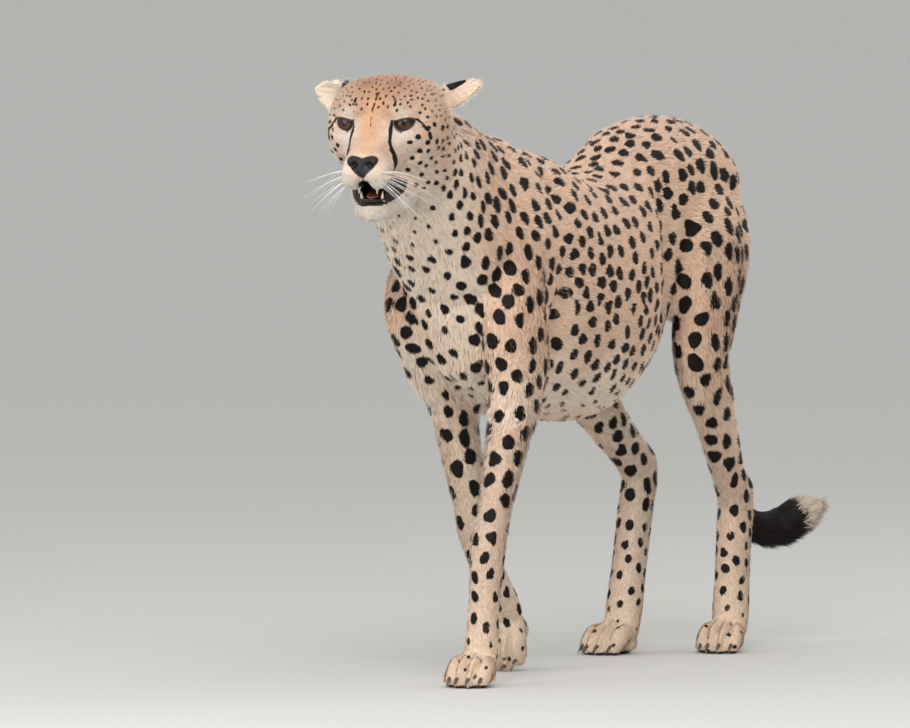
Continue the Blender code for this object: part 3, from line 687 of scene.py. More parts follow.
NOSTRILS = (((0.0100, -0.0600, -0.0545), 0.0038, (0.0000, 0.0070, 0.0000)),
            ((0.0145, -0.0570, -0.0575), 0.0030, (-0.0010, 0.0035, 0.0000)))

local = to_head(points)
aside = np.abs(local[:, 0])
hang = blend(0.004, 0.015, aside) * blend(0.040, 0.030, aside) * blend(-0.004, -0.018, local[:, 1])
local[:, 2] -= PAD_HANG * hang * blend(-0.060, -0.080, local[:, 2]) * blend(-0.098, -0.092, local[:, 2])
local += pushed(local, MUZZLE_FORMS)
local += pushed(local, NOSTRILS)


def outline_distance(at, corners):
    """Distance of flat points from a closed outline, less than nothing inside it."""
    corners = np.asarray(corners, float)
    ends = np.roll(corners, -1, axis=0)
    nearest = np.full(len(at), np.inf)
    inside = np.zeros(len(at), bool)
    for start, end in zip(corners, ends):
        line = end - start
        share = np.clip((at - start) @ line / line.dot(line), 0, 1)
        nearest = np.minimum(nearest, np.linalg.norm(at - start - share[:, None] * line, axis=1))
        crosses = (start[1] > at[:, 1]) != (end[1] > at[:, 1])
        reach = start[0] + (at[:, 1] - start[1]) * line[0] / (line[1] if line[1] else 1e-9)
        inside ^= crosses & (at[:, 0] < reach)
    return np.where(inside, -nearest, nearest)


# Black skin at the side of the open mouth, seen from the side: back and up, in order round it.
LIP_CORNER = ((-0.0130, -0.0720), (0.0060, -0.0730), (0.0210, -0.0770), (0.0280, -0.0800),
              (0.0235, -0.0880), (0.0120, -0.0965), (-0.0010, -0.1030), (-0.0120, -0.1100),
              (-0.0160, -0.1020), (-0.0140, -0.0880))
LIP_CORNER_DEPTH = 0.0035


def lip_corner_distance(local):
    """Distance from the black skin at either side of the mouth; it only counts away from the middle."""
    side = outline_distance(local[:, 1:], LIP_CORNER)
    return np.maximum(side, 0.0165 - np.abs(local[:, 0]))


hollow = 1 - blend(-0.0040, 0.0010, lip_corner_distance(local))
local[:, 0] -= np.sign(local[:, 0]) * LIP_CORNER_DEPTH * hollow

# Lids: round each eye the hide is laid over the ball, and inside the slit it passes under it.
LOOK_OUT = math.radians(13)  # each eye faces a little to its own side
SLIT = dict(half=0.0160, top=0.0044, bottom=0.0084, tilt=math.radians(8))
LID_THICK = 0.0011


def turned(first, second, angle):
    """Two directions, or two measures, turned by an angle in the plane that they span."""
    c, s = np.cos(angle), np.sin(angle)
    return first * c + second * s, second * c - first * s


def eye_axes(side):
    """Outward, forward and up directions of one eye, in head axes."""
    look = np.array((side * math.sin(LOOK_OUT), -math.cos(LOOK_OUT), 0.0))
    out = np.array((side * math.cos(LOOK_OUT), math.sin(LOOK_OUT), 0.0))
    return out, look, np.array((0.0, 0.0, 1.0))


def slit_edges(across):
    """Height of the upper and lower lid's edge at a share of the half width, outward positive."""
    inner = np.clip(1 - np.abs(across) ** 2.2, 0, 1)
    lean = 1 - 0.18 * across
    return SLIT["top"] * inner ** 0.60 * (2 - lean), -SLIT["bottom"] * inner ** 0.95 * lean


def slit_distance(local, side):
    """Arc distance on the ball from the edge of the lids, less than nothing in the slit, and range."""
    out, look, rise = eye_axes(side)
    away = local - (side * np.abs(to_head(eye_centres[side])[0]), EYE_BACK, 0.0)
    far = np.linalg.norm(away, axis=1)
    ahead = away @ look
    x = np.arctan2(away @ out, np.maximum(ahead, 1e-6)) * eye_radius
    y = np.arcsin(np.clip(away @ rise / np.maximum(far, 1e-6), -1, 1)) * eye_radius
    x, y = turned(x, y, SLIT["tilt"])
    share = x / SLIT["half"]
    top, bottom = slit_edges(np.clip(share, -1, 1))
    beyond = np.maximum(np.abs(x) - SLIT["half"], 0)
    edge = np.maximum(y - top, bottom - y)
    edge = np.where(beyond > 0, np.hypot(beyond, y), edge * 0.85)
    return np.where(ahead > 0, edge, 0.1), away, far


for side in (1, -1):
    edge, away, far = slit_distance(local, side)
    near = (edge < 0.016) & (far < 0.034)
    under = eye_radius - 0.0012
    over = eye_radius + LID_THICK + 0.16 * np.maximum(edge, 0)
    lid = under + (over - under) * blend(-0.0006, 0.0006, edge)
    share = np.maximum(blend(0.0015, 0.0110, edge), blend(0.021, 0.031, far))
    wanted = lid + (far - lid) * share
    local[near] += (away * ((wanted - far) / np.maximum(far, 1e-6))[:, None])[near]

points = from_head(local)
hide.data.vertices.foreach_set("co", points.astype(np.float32).ravel())
hide.data.update()

# ---- Markings ------------------------------------------------------------------------------
# The coat's colours and its black marks, worked out for any place on the body, so that the hide
# and every tuft on it take the same ones: tawny above, pale below, round spots, tear lines.


def tint(red, green, blue):
    """A colour of 0 to 255 on a screen as linear light: ((c + 0.055) / 1.055) to the power 2.4."""
    value = np.array((red, green, blue)) / 255
    return np.where(value <= 0.04045, value / 12.92, ((value + 0.055) / 1.055) ** 2.4)


FLANK = tint(229, 196, 169)
BACK = tint(213, 180, 157)
CREAM = tint(245, 229, 209)
WHITE = tint(215, 207, 195)
LEG = tint(233, 208, 185)
PAW = tint(233, 210, 184)
CROWN = tint(164, 120, 88)
CROWN_DARK = tint(112, 74, 52)
BRIDGE = tint(206, 160, 124)
BLACK = tint(20, 14, 11)
RUST = tint(150, 92, 54)


def wander(points, size, seed):
    """Smooth noise of about -1 to 1: the sum of five sine waves that cross in random directions."""
    random = np.random.default_rng(seed)
    total = np.zeros(len(points))
    for _ in range(5):
        direction = random.normal(size=3)
        direction *= 2 * math.pi / (size * np.linalg.norm(direction)) * random.uniform(0.7, 1.4)
        total += np.sin(points @ direction + random.uniform(0, 2 * math.pi))
    return total / 2.6


def length_one(vectors):
    """Rows of vectors brought to length one."""
    return vectors / np.maximum(np.linalg.norm(vectors, axis=1), 1e-9)[:, None]


def guide_lines():
    """Places, directions and radii down the middle of each part, along which the coat lies."""
    trunk = np.linspace((0, -0.30, 0.60), (0, 0.40, 0.64), 20)
    neck = np.linspace((0, -0.47, 0.72), (0, -0.33, 0.60), 6)
    lines = [(trunk, 0.105), (neck, 0.085), (smooth_rows(TAIL_LINE, 40)[:, :3], 0.025)]
    for joints, radius in ((LEFT_FORE, 0.040), (RIGHT_FORE, 0.040),
                           (LEFT_HIND, 0.050), (RIGHT_HIND, 0.050)):
        lines.append((smooth_rows(joints, 30)[6:], radius * np.linspace(1.4, 0.7, 24)))
    for paw in PAWS.values():
        toes = np.linspace((0, 0.01, -0.005), (0, -0.055, -0.020), 6)
        lines.append((toes @ paw_turn(paw).T + paw["heel"], 0.024))
    places = np.concatenate([line for line, _ in lines])
    directions = np.concatenate([np.gradient(line, axis=0) for line, _ in lines])
    radii = np.concatenate([np.broadcast_to(radius, len(line)) for line, radius in lines])
    return places - DRAWN_MIDDLE, length_one(directions), radii


AT_ONCE = 20000  # points measured in one step


def along_body(points, normals):
    """The way the coat lies: the guides' directions weighed by nearness, laid along the surface.

    On the head it runs back from the nose, and on the ears towards their tips.
    """
    places, directions, radii = guide_lines()
    flow = np.empty_like(points)
    for start in range(0, len(points), AT_ONCE):
        part = slice(start, start + AT_ONCE)
        weight = 1 / ((np.linalg.norm(points[part, None] - places, axis=2) / radii) ** 8 + 1e-4)
        flow[part] = weight @ directions
    flow = length_one(flow)
    flow[:, 2] -= 0.30 * blend(0.36, 0.42, points[:, 2])
    local = to_head(points)
    backward = length_one(local - (0, -0.075, -0.040)) + (0, 0.5, 0)
    share = nearness(local, FACE_MIDDLE, 0.10, 0.17)
    flow += (length_one(backward) @ HEAD_AXES * 1.3 - flow) * share[:, None]
    for ear in EARS.values():
        away, _ = along_capsule(local, ear["base"], ear["tip"])
        share = (1 - blend(0.026, 0.036, away)) * blend(0.072, 0.086, np.abs(local[:, 0]))
        towards = (np.array(ear["tip"]) - ear["base"]) @ HEAD_AXES
        flow += (towards / np.linalg.norm(towards) - flow) * share[:, None]
    return length_one(flow - normals * (flow * normals).sum(axis=1)[:, None])


normals = normals_at(points, triangles)
flow = along_body(points, normals)

# Spots with a place of their own: on both sides of the face, as left, back and up, and inside the
# right foreleg.
FACE_SPOTS = (
    (0.0593, 0.0153, -0.0363), (0.0672, 0.0260, -0.0379), (0.0727, 0.0632, -0.0456),
    (0.0686, 0.0535, -0.0534), (0.0611, 0.0367, -0.0570), (0.0565, 0.0244, -0.0527),
    (0.0672, 0.0582, -0.0656), (0.0745, 0.0802, -0.0756), (0.0242, 0.0380, 0.0515),
    (0.0444, 0.0271, 0.0411), (0.0185, 0.0154, 0.0412), (0.0378, 0.0123, 0.0347),
    (0.0110, 0.0560, 0.0560), (0.0330, 0.0500, 0.0520), (0.0080, 0.0330, 0.0510),
    (0.0520, 0.0450, 0.0440),
)
FORELEG_SPOTS = ((-0.040, -0.215, 0.327), (-0.042, -0.217, 0.351),
                 (-0.035, -0.209, 0.302), (-0.051, -0.220, 0.285))
SPOT_TRIALS, MOST_SPOTS = 45000, 8000
SPOT_REACH = 0.021  # half side of the box searched round each spot's centre


def spot_sizes(points, normals):
    """Half length, half width, spacing and its stretch along the coat, for the spots at each place."""
    x, y, z = points.T
    local = to_head(points)
    sizes = np.tile((0.0110, 0.0086, 0.0196, 1.45), (len(points), 1))  # flank
    low = blend(0.24, 0.15, z)
    shoulder = blend(0.10, 0.05, np.hypot(y + 0.29, z - 0.47)) * blend(0.05, 0.07, np.abs(x))
    thigh = blend(0.19, 0.26, y) * blend(0.30, 0.36, z) * blend(0.50, 0.20, normals[:, 2])
    breast = blend(-0.30, -0.36, y) * blend(0.62, 0.56, z)
    neck = blend(-0.36, -0.44, y) * blend(0.56, 0.62, z)
    head = nearness(local, (0, 0.04, -0.01), 0.095, 0.13)
    for share, new in (
        (blend(0.36, 0.42, z) * blend(0.35, 0.75, normals[:, 2]), (0.0098, 0.0070, 0.0174, 1.36)),  # back
        (breast, (0.0100, 0.0088, 0.0200, 1.15)),
        (breast * blend(0.05, 0.02, np.abs(x)), (0.0070, 0.0060, 0.0210, 1.10)),
        (shoulder, (0.0108, 0.0094, 0.0214, 1.15)),
        (neck, (0.0074, 0.0062, 0.0166, 1.20)),
        (neck * blend(-0.35, -0.80, normals[:, 2]), (0.0040, 0.0030, 0.0220, 1.20)),
        (thigh, (0.0126, 0.0106, 0.0236, 1.20)),
        (blend(0.345, 0.315, z), (0.0112, 0.0092, 0.0220, 1.25)),  # legs
        (low, (0.0084, 0.0058, 0.0184, 1.30)),
        (low * blend(0.0, 0.1, y), (0.0070, 0.0056, 0.0166, 1.20)),
        (blend(0.08, 0.05, z), (0.0034, 0.0026, 0.0190, 1.20)),  # feet
        (head * blend(-0.02, 0.01, local[:, 2]), (0.0026, 0.0017, 0.0060, 1.40)),
        (head * blend(0.01, -0.02, local[:, 2]), (0.0040, 0.0034, 0.0110, 1.10)),
    ):
        sizes += (np.array(new) - sizes) * share[:, None]
    return sizes


def nearest_to(place, points):
    """Number of the point nearest to a place."""
    return np.linalg.norm(points - place, axis=1).argmin()


def scattered(points, triangles, count, random, spacing=1.0):
    """Random places on the surface: a triangle for each, and the shares of its three corners.

    A triangle is chosen by its area over spacing squared.
    """
    a, b, c = (points[triangles[:, k]] for k in range(3))
    total = np.cumsum(np.linalg.norm(np.cross(b - a, c - a), axis=1) / spacing ** 2)
    chosen = np.minimum(np.searchsorted(total, random.uniform(0, total[-1], count)), len(total) - 1)
    share = random.uniform(0, 1, (count, 2))
    over = share.sum(axis=1) > 1
    share[over] = 1 - share[over]
    return chosen, np.hstack([share, 1 - share.sum(axis=1, keepdims=True)])[..., None]


def spots_on_body():
    """Centres thrown on the body at random, each kept where no earlier one is within the spacing.

    Distance along the coat is divided by the region's stretch, so that spots lie farther apart along
    the coat than across it. The spots that have a place of their own come first.
    """
    random = np.random.default_rng(11)
    outer = triangles[lining == 0]
    chosen, share = scattered(points, outer, SPOT_TRIALS, random)
    corners = outer[chosen]
    nearest = [nearest_to(from_head(np.multiply(spot, (side, 1, 1))), points)
               for spot in FACE_SPOTS for side in (1, -1)]
    nearest += [nearest_to(spot, points) for spot in FORELEG_SPOTS]
    centre = np.concatenate([points[nearest], (points[corners] * share).sum(axis=1)])
    normal = np.concatenate([normals[nearest], length_one((normals[corners] * share).sum(axis=1))])
    lie = np.concatenate([flow[nearest], length_one((flow[corners] * share).sum(axis=1))])
    length, width, gap, stretch = spot_sizes(centre, normal).T
    gap = gap * random.uniform(0.97, 1.08, len(gap))
    kept, places, gaps = [], np.empty((MOST_SPOTS, 3)), np.empty(MOST_SPOTS)
    for index, (place, room) in enumerate(zip(centre, gap)):
        count = len(kept)
        away = places[:count] - place
        shorter = 1 - 1 / stretch[index]
        away = np.linalg.norm(away - shorter * (away @ lie[index])[:, None] * lie[index], axis=1)
        if (away > (gaps[:count] + room) * (0.5 if index >= len(nearest) else 0.1)).all():
            places[count], gaps[count] = place, room
            kept.append(index)
    kept = np.array(kept)
    scale = random.uniform(0.92, 1.13, len(kept))
    turn = random.normal(0, 0.30, (len(kept), 1))
    lie = lie[kept]
    across = length_one(np.cross(normal[kept], lie))
    lie, across = turned(lie, across, turn)
    waves = random.normal(0, (0.08, 0.07, 0.05), (len(kept), 3))
    starts = random.uniform(0, 2 * math.pi, (len(kept), 3))
    return centre[kept], lie, across, length[kept] * scale, width[kept] * scale, waves, starts


spots = spots_on_body()
hide_local = to_head(points)

# Black strokes of the face: half width, then places along the stroke, as left, back and up.
STROKES = (
    (0.0030, (0.0262, -0.0050, 0.0020), (0.0268, -0.0090, -0.0060), (0.0275, -0.0115, -0.0110)),  # tear line
    (0.0026, (0.0275, -0.0115, -0.0110), (0.0278, -0.0186, -0.0260), (0.0290, -0.0184, -0.0340)),
    (0.0034, (0.0292, -0.0181, -0.0357), (0.0320, -0.0153, -0.0430)),
    (0.0048, (0.0330, -0.0150, -0.0465), (0.0345, -0.0120, -0.0560)),
    (0.0034, (0.0350, -0.0120, -0.0575), (0.0350, -0.0100, -0.0670), (0.0350, -0.0060, -0.0760)),
    (0.0013, (0.0530, 0.0070, 0.0060), (0.0585, 0.0110, 0.0050)),  # dashes behind the eye
    (0.0018, (0.0585, 0.0110, 0.0050), (0.0630, 0.0145, -0.0010)),
    (0.0026, (0.0645, 0.0155, -0.0040), (0.0680, 0.0190, -0.0085)),
    (0.0037, (0.0705, 0.0215, -0.0140), (0.0718, 0.0235, -0.0190)),
    (0.0030, (0.0745, 0.0380, -0.0250), (0.0750, 0.0420, -0.0290)),
    (0.0021, (0.0285, 0.0050, 0.0330), (0.0300, 0.0000, 0.0230)),  # brow
)
MIDDLE_STROKES = (
    (0.0017, (0.0015, 0.0130, 0.0400), (0.0000, 0.0040, 0.0310)),
    (0.0014, (0.0000, 0.0000, 0.0260), (0.0000, -0.0080, 0.0170)),
    (0.0010, (0.0005, -0.0160, 0.0070), (0.0015, -0.0230, -0.0030)),
)


FAR = 0.05  # stands for any distance at which a mark no longer matters


def spot_distance(points):
    """Distance outside the nearest spot: (ellipse radius less its wavy edge) times half width."""
    order = np.argsort(points[:, 1])
    rows = points[order]
    nearest = np.full(len(points), FAR)
    for centre, lie, across, length, width, waves, starts in zip(*spots):
        low, high = np.searchsorted(rows[:, 1], (centre[1] - SPOT_REACH, centre[1] + SPOT_REACH))
        close = low + np.flatnonzero((np.abs(rows[low:high, 2] - centre[2]) < SPOT_REACH)
                                     & (np.abs(rows[low:high, 0] - centre[0]) < SPOT_REACH))
        away = rows[close] - centre
        along, aside = away @ lie / length, away @ across / width
        angle = np.arctan2(aside, along)
        edge = 1 + (waves * np.sin(angle[:, None] * (2, 3, 5) + starts)).sum(axis=1)
        nearest[close] = np.minimum(nearest[close], (np.hypot(along, aside) - edge) * width)
    distance = np.empty(len(points))
    distance[order] = nearest
    return distance


def stroke_distance(local):
    """Distance outside the nearest stroke of the face, in head axes, each laid on the hide."""
    nearest = np.full(len(local), FAR)
    near = np.flatnonzero(np.linalg.norm(local - FACE_MIDDLE, axis=1) < 0.13)
    for strokes, sides in ((STROKES, (1, -1)), (MIDDLE_STROKES, (1,))):
        for half, *places in strokes:
            for side in sides:
                mirror = np.array([side, 1, 1])
                laid = [hide_local[nearest_to(place * mirror, hide_local)] for place in places]
                for start, end in zip(laid[:-1], laid[1:]):
                    away, _ = along_capsule(local[near], start, end)
                    nearest[near] = np.minimum(nearest[near], away - half)
    return nearest


tail_line = smooth_rows(TAIL_LINE, 120)[:, :3] - DRAWN_MIDDLE
tail_run = np.concatenate([[0], np.cumsum(np.linalg.norm(np.diff(tail_line, axis=0), axis=1))])


def tail_place(points):
    """How far along the tail each point lies from its root, and how far from its middle line."""
    run, far = np.zeros(len(points)), np.full(len(points), 1.0)
    on_tail = np.flatnonzero(points[:, 1] > 0.42)
    for start in range(0, len(on_tail), AT_ONCE):
        part = on_tail[start:start + AT_ONCE]
        away = np.linalg.norm(points[part, None] - tail_line, axis=2)
        run[part], far[part] = tail_run[away.argmin(axis=1)], away.min(axis=1)
    return run, far


# Soft patches of the head: place, half sizes, colour and strength, on both sides.
PATCHES = (
    ((0.000, 0.045, 0.060), (0.055, 0.060, 0.035), CROWN, 0.30),
    ((0.000, 0.010, 0.036), (0.042, 0.040, 0.024), CROWN, 0.62),
    ((0.022, 0.030, 0.056), (0.011, 0.018, 0.010), CROWN_DARK, 0.45),
    ((0.000, -0.022, 0.002), (0.017, 0.040, 0.045), BRIDGE, 0.85),
    ((0.020, -0.010, -0.010), (0.008, 0.020, 0.016), CREAM, 0.50),
    ((0.018, -0.004, 0.014), (0.008, 0.014, 0.010), CROWN, 0.70),
    ((0.038, -0.006, 0.015), (0.012, 0.020, 0.0045), WHITE, 0.85),
    ((0.042, -0.006, -0.017), (0.014, 0.026, 0.008), WHITE, 0.95),
    ((0.040, -0.004, -0.030), (0.010, 0.026, 0.014), WHITE, 0.60),
    ((0.056, 0.012, -0.032), (0.014, 0.030, 0.020), BRIDGE, 0.25),
    ((0.024, -0.042, -0.062), (0.016, 0.022, 0.018), CREAM, 0.85),
    ((0.020, -0.046, -0.082), (0.022, 0.024, 0.012), WHITE, 0.90),
    ((0.000, -0.015, -0.125), (0.034, 0.040, 0.018), WHITE, 1.00),
    ((0.045, 0.030, -0.110), (0.036, 0.050, 0.026), WHITE, 0.80),
)
TAIL_RINGS = ((0.215, 0.010), (0.165, 0.012), (0.076, 0.050))  # middle and half width from the tip
TAIL_WHITE = 0.018
TAIL_TUFT = tint(206, 194, 176)


def coat_colours(points, normals):
    """Colour of the coat without its black: mixed from back to belly, then patch by patch."""
    x, y, z = points.T
    local = to_head(points)
    run, far = tail_place(points)
    uneven = wander(points, 0.16, 3) * 0.12
    upward = normals[:, 2] + uneven
    colour = np.tile(FLANK, (len(points), 1))
    front = blend(-0.25, -1.05, normals[:, 1] + uneven) * blend(-0.29, -0.36, y) * blend(0.33, 0.40, z)
    front *= blend(0.09, 0.01, np.abs(x))
    throat = blend(0.10, -0.85, upward) * blend(-0.36, -0.46, y)
    legs = blend(0.36, 0.32, z)
    head = nearness(local, FACE_MIDDLE, 0.10, 0.15)
    inner = -normals[:, 0] * np.sign(x)
    for share, new in (
        (blend(0.05, 0.95, upward) * blend(0.40, 0.50, z) * 0.85, BACK),
        (blend(-0.15, -0.75, upward) * blend(0.33, 0.38, z), CREAM),  # underside
        (blend(0.46, 0.36, z + uneven * 0.1) * blend(0.33, 0.36, z) * blend(0.28, 0.18, y) * 0.7,
         CREAM),  # low on the flank
        (front * 0.75, CREAM),
        (throat * 0.90, CREAM),
        (blend(-0.36, -0.45, y) * blend(0.52, 0.60, z) * (1 - head) * 0.50, CREAM),  # neck
        (legs * 0.8, LEG),
        (legs * blend(0.0, 0.7, inner) * 0.6, CREAM),
        (blend(0.16, 0.04, z) * 0.75, PAW),
    ):
        colour += (new - colour) * share[:, None]
    colour *= 1 - 0.10 * (blend(0.32, 0.24, z) * blend(0.05, 0.12, z))[:, None]  # lower legs
    colour *= 1 - 0.18 * head[:, None]
    for place, sizes, new, strength in PATCHES:
        for side in (1, -1):
            share = np.exp(-(((local - np.multiply(place, (side, 1, 1))) / sizes) ** 2).sum(axis=1))
            colour += (new - colour) * (share * strength)[:, None]
    share = blend(0.05, 0.03, far) * blend(tail_run[-1] - 0.21, tail_run[-1] - 0.12, run) * 0.8
    return colour + (TAIL_TUFT - colour) * share[:, None]


# Where each ear's black patch begins and ends, as shares of its length.
EAR_BLACK = {"ear_left": (0.38, 0.76), "ear_right": (0.06, 0.40)}


def ear_marks(local, normals):
    """Share of black along the tops of the ears, of pale hair within them, and of the ears at all."""
    black, pale, whole = np.zeros(len(local)), np.zeros(len(local)), np.zeros(len(local))
    for name, ear in EARS.items():
        away, share = along_capsule(local, ear["base"], ear["tip"])
        opening = np.array(ear["opening"])
        facing = normals @ (opening / np.linalg.norm(opening) @ HEAD_AXES)
        here = (1 - blend(0.027, 0.033, away)) * blend(0.072, 0.082, np.abs(local[:, 0]))
        middle = np.array(ear["base"]) + share[:, None] * (np.array(ear["tip"]) - ear["base"])
        first, last = EAR_BLACK[name]
        patch = blend(first - 0.06, first + 0.06, share) * blend(last + 0.06, last - 0.06, share)
        patch *= blend(0.0060, 0.0100, (local - middle)[:, 2]) * (1 - blend(0.027, 0.033, away))
        black = np.maximum(black, patch)
        pale = np.maximum(pale, here * blend(-0.1, 0.3, facing))
        whole = np.maximum(whole, here)
    return black, pale, whole


MARK_RANGE = 0.005  # distances to a mark are held to this, either way


def markings(points, normals):
    """The coat's colour, and the distance outside its nearest black mark, less than nothing on it."""
    colour = coat_colours(points, normals)
    local = to_head(points)
    ear_black, ear_pale, on_ear = ear_marks(local, normals)
    colour += (CREAM - colour) * (ear_pale * 0.7)[:, None]
    colour += (RUST - colour) * (0.12 * np.clip(wander(points, 0.013, 21), 0, 1))[:, None]
    # No spots on the muzzle, between or beside the eyes, on the chin or on the ears.
    aside, back, up = np.abs(local[:, 0]), local[:, 1], local[:, 2]
    clear = np.linalg.norm(local - (0, -0.030, -0.050), axis=1) - 0.056
    for here, beyond in (
        (back < 0.03, np.hypot(aside - 0.041, up + 0.004) - 0.020),
        (back < 0.08, up + 0.090),
        ((back < 0.02) & (aside < 0.03), up - 0.014),
    ):
        clear = np.minimum(clear, np.where(here, beyond, FAR))
    clear = np.where(np.linalg.norm(local, axis=1) < 0.14, clear, FAR)
    distance = np.maximum(spot_distance(points), -clear)
    distance = np.where(on_ear > 0.5, MARK_RANGE, distance)
    run, far = tail_place(points)
    run = run + 0.005 * wander(points, 0.010, 12)
    rings = np.min([np.abs(tail_run[-1] - run - middle) - half for middle, half in TAIL_RINGS], axis=0)
    distance = np.where(far < 0.04, np.minimum(distance, rings), distance)
    distance = np.where((far < 0.04) & (tail_run[-1] - run < TAIL_WHITE), MARK_RANGE, distance)
    distance = np.minimum(distance, stroke_distance(local))
    # The spots shrink under the belly.
    z = points[:, 2]
    under = blend(0.44, 0.37, z) * blend(-0.3, -0.8, normals[:, 2]) * blend(0.33, 0.36, z)
    distance = np.minimum(distance + 0.004 * under, 0.006 * (0.5 - ear_black))
    return colour, np.clip(distance, -MARK_RANGE, MARK_RANGE)


# Bare skin: nose leather, lips, rims of the lids and pads. Half outline of the nose, as left and up.
NOSE_OUTLINE = ((-0.0050, -0.0460), (0.0000, -0.0460), (0.0070, -0.0435), (0.0140, -0.0425),
                (0.0190, -0.0440), (0.0222, -0.0480), (0.0210, -0.0530), (0.0158, -0.0595),
                (0.0100, -0.0655), (0.0045, -0.0705), (0.0010, -0.0730), (0.0007, -0.0840),
                (-0.0050, -0.0840))
LOWER_LIP_FOOT = -0.1108
rim_points = np.unique(np.intersect1d(triangles[lining == 0], triangles[lining == 1]))
mouth_rim = to_head(points[rim_points])


def bare_distance(points):
    """Distance outside the nearest bare skin, less than nothing on it, and which kind it is.

    Kinds: 0 nose leather, 1 lips, 2 rims of the lids, 3 pads under the feet.
    """
    local = to_head(points)
    aside = np.abs(local[:, 0])
    kinds = np.full((4, len(points)), FAR)
    front = np.flatnonzero((local[:, 1] < 0.07) & (local[:, 2] < 0.03) & (local[:, 2] > -0.14)
                           & (aside < 0.09))
    face = local[front]
    nose = outline_distance(np.stack([aside[front], face[:, 2]], axis=1), NOSE_OUTLINE)
    kinds[0, front] = np.maximum(nose, face[:, 1] + 0.040)
    rim = np.full(len(face), 1.0)
    for place in mouth_rim[::2]:
        rim = np.minimum(rim, np.linalg.norm(face - place, axis=1))
    lower = blend(-0.0965, -0.0995, face[:, 2])
    band = rim - 0.0018 - 0.0020 * lower
    foot = LOWER_LIP_FOOT + 0.0045 * blend(0.010, 0.024, np.abs(face[:, 0])) ** 2
    foot = foot + 0.0006 * wander(face, 0.012, 8)
    jaw_band = np.max([face[:, 2] + 0.0960, foot - face[:, 2], face[:, 1] + 0.004], axis=0)
    kinds[1, front] = np.min([band, lip_corner_distance(face), jaw_band], axis=0)
    for side in (1, -1):
        near = front[face[:, 0] * side > 0]
        edge, _, far = slit_distance(local[near], side)
        kinds[2, near] = np.maximum(edge - 0.0019, far - eye_radius - 0.0050)
    for paw in PAWS.values():
        under = (points + DRAWN_MIDDLE - paw["heel"]) @ paw_turn(paw)
        sole = np.maximum(under[:, 2] + 0.034, under[:, 1] - 0.022)
        sole = np.maximum(sole, -0.062 - under[:, 1])
        near = np.linalg.norm(under, axis=1) < 0.08
        kinds[3, near] = np.minimum(kinds[3, near], sole[near])
    return kinds.min(axis=0), kinds.argmin(axis=0)


NOSE_SKIN = tint(13, 10, 10)
LIP_SKIN = tint(24, 17, 16)
MOUTH_SKIN = tint(92, 34, 32)

# ---- Materials of the hide and coat --------------------------------------------------------
# Hide and hair take their colour from the points of their meshes. The shader adds what is finer
# than a mesh holds: pores and short hairs on the hide, and the wet gloss of nose and lips.


class Socket:
    """A node's output, or a number, that sums, differences and products can be written with."""

    def __init__(self, tree, output):
        self.tree, self.output = tree, output

    def reckoned(self, operation, first, second):
        return node(self.tree, "ShaderNodeMath", {"operation": operation}, first, second)

    def __add__(self, other):
        return self.reckoned("ADD", self, other)

    def __sub__(self, other):
        return self.reckoned("SUBTRACT", self, other)

    def __rsub__(self, other):
        return self.reckoned("SUBTRACT", other, self)

    def __mul__(self, other):
        return self.reckoned("MULTIPLY", self, other)

    __radd__, __rmul__ = __add__, __mul__


def join(tree, value, socket):
    """Sets an input from a number or a row of numbers, or links a socket to it."""
    if isinstance(value, Socket):
        tree.links.new(value.output, socket)
    else:
        socket.default_value = value


def node(tree, kind, settings, *values, output=0, **named):
    """One node of a kind: its settings are set first, then its inputs in order or by name."""
    made = tree.nodes.new(kind)
    for name, value in settings.items():
        setattr(made, name, value)
    for value, socket in zip(values, made.inputs):
        join(tree, value, socket)
    for name, value in named.items():
        join(tree, value, made.inputs[name])
    return Socket(tree, made.outputs[output])


def material(name, **values):
    """A material with a Principled shader, and its inputs set by name with _ for a space."""
    made = bpy.data.materials.get(name) or bpy.data.materials.new(name)
    made.use_nodes = True
    shader = made.node_tree.nodes["Principled BSDF"]
    for key, value in values.items():
        join(made.node_tree, value, shader.inputs[key.replace("_", " ")])
    return made.node_tree, shader.inputs


def painted(made, name, colours):
    """A colour for each point of a mesh, held as an attribute of the given name."""
    layer = made.data.color_attributes.new(name, "FLOAT_COLOR", "POINT")
    full = np.ones((len(colours), 4), np.float32)
    full[:, :3] = colours
    layer.data.foreach_set("color", full.ravel())


def valued(made, name, values):
    """A number for each point of a mesh, held as an attribute of the given name."""
    layer = made.data.attributes.new(name, "FLOAT", "POINT")
    layer.data.foreach_set("value", values.astype(np.float32))


def attribute(tree, name, output=0):
    """A mesh's attribute: its colour, or its number from output 2."""
    return node(tree, "ShaderNodeAttribute", {"attribute_name": name}, output=output)


def on_body(tree):
    """Places on the object, in its own metres."""
    return node(tree, "ShaderNodeTexCoord", {}, output=3)


def bumped(tree, inputs, height, strength, distance):
    """The height feeds a bump, and the bump the shader's normal."""
    bump = node(tree, "ShaderNodeBump", {}, Strength=strength, Distance=distance, Height=height)
    join(tree, bump, inputs["Normal"])


MARK_EDGE = 0.0005  # half width of the soft edge of a black mark
EDGE_ROUGH = 0.0022  # how far fine noise moves that edge, in all


def mixed(tree, share, first, second):
    """Two colours mixed: the first at share 0, the second at share 1."""
    made = node(tree, "ShaderNodeMix", {"data_type": "RGBA"}, share, output=2)
    for value, socket in zip((first, second), made.output.node.inputs[6:8]):
        join(tree, value, socket)
    return made


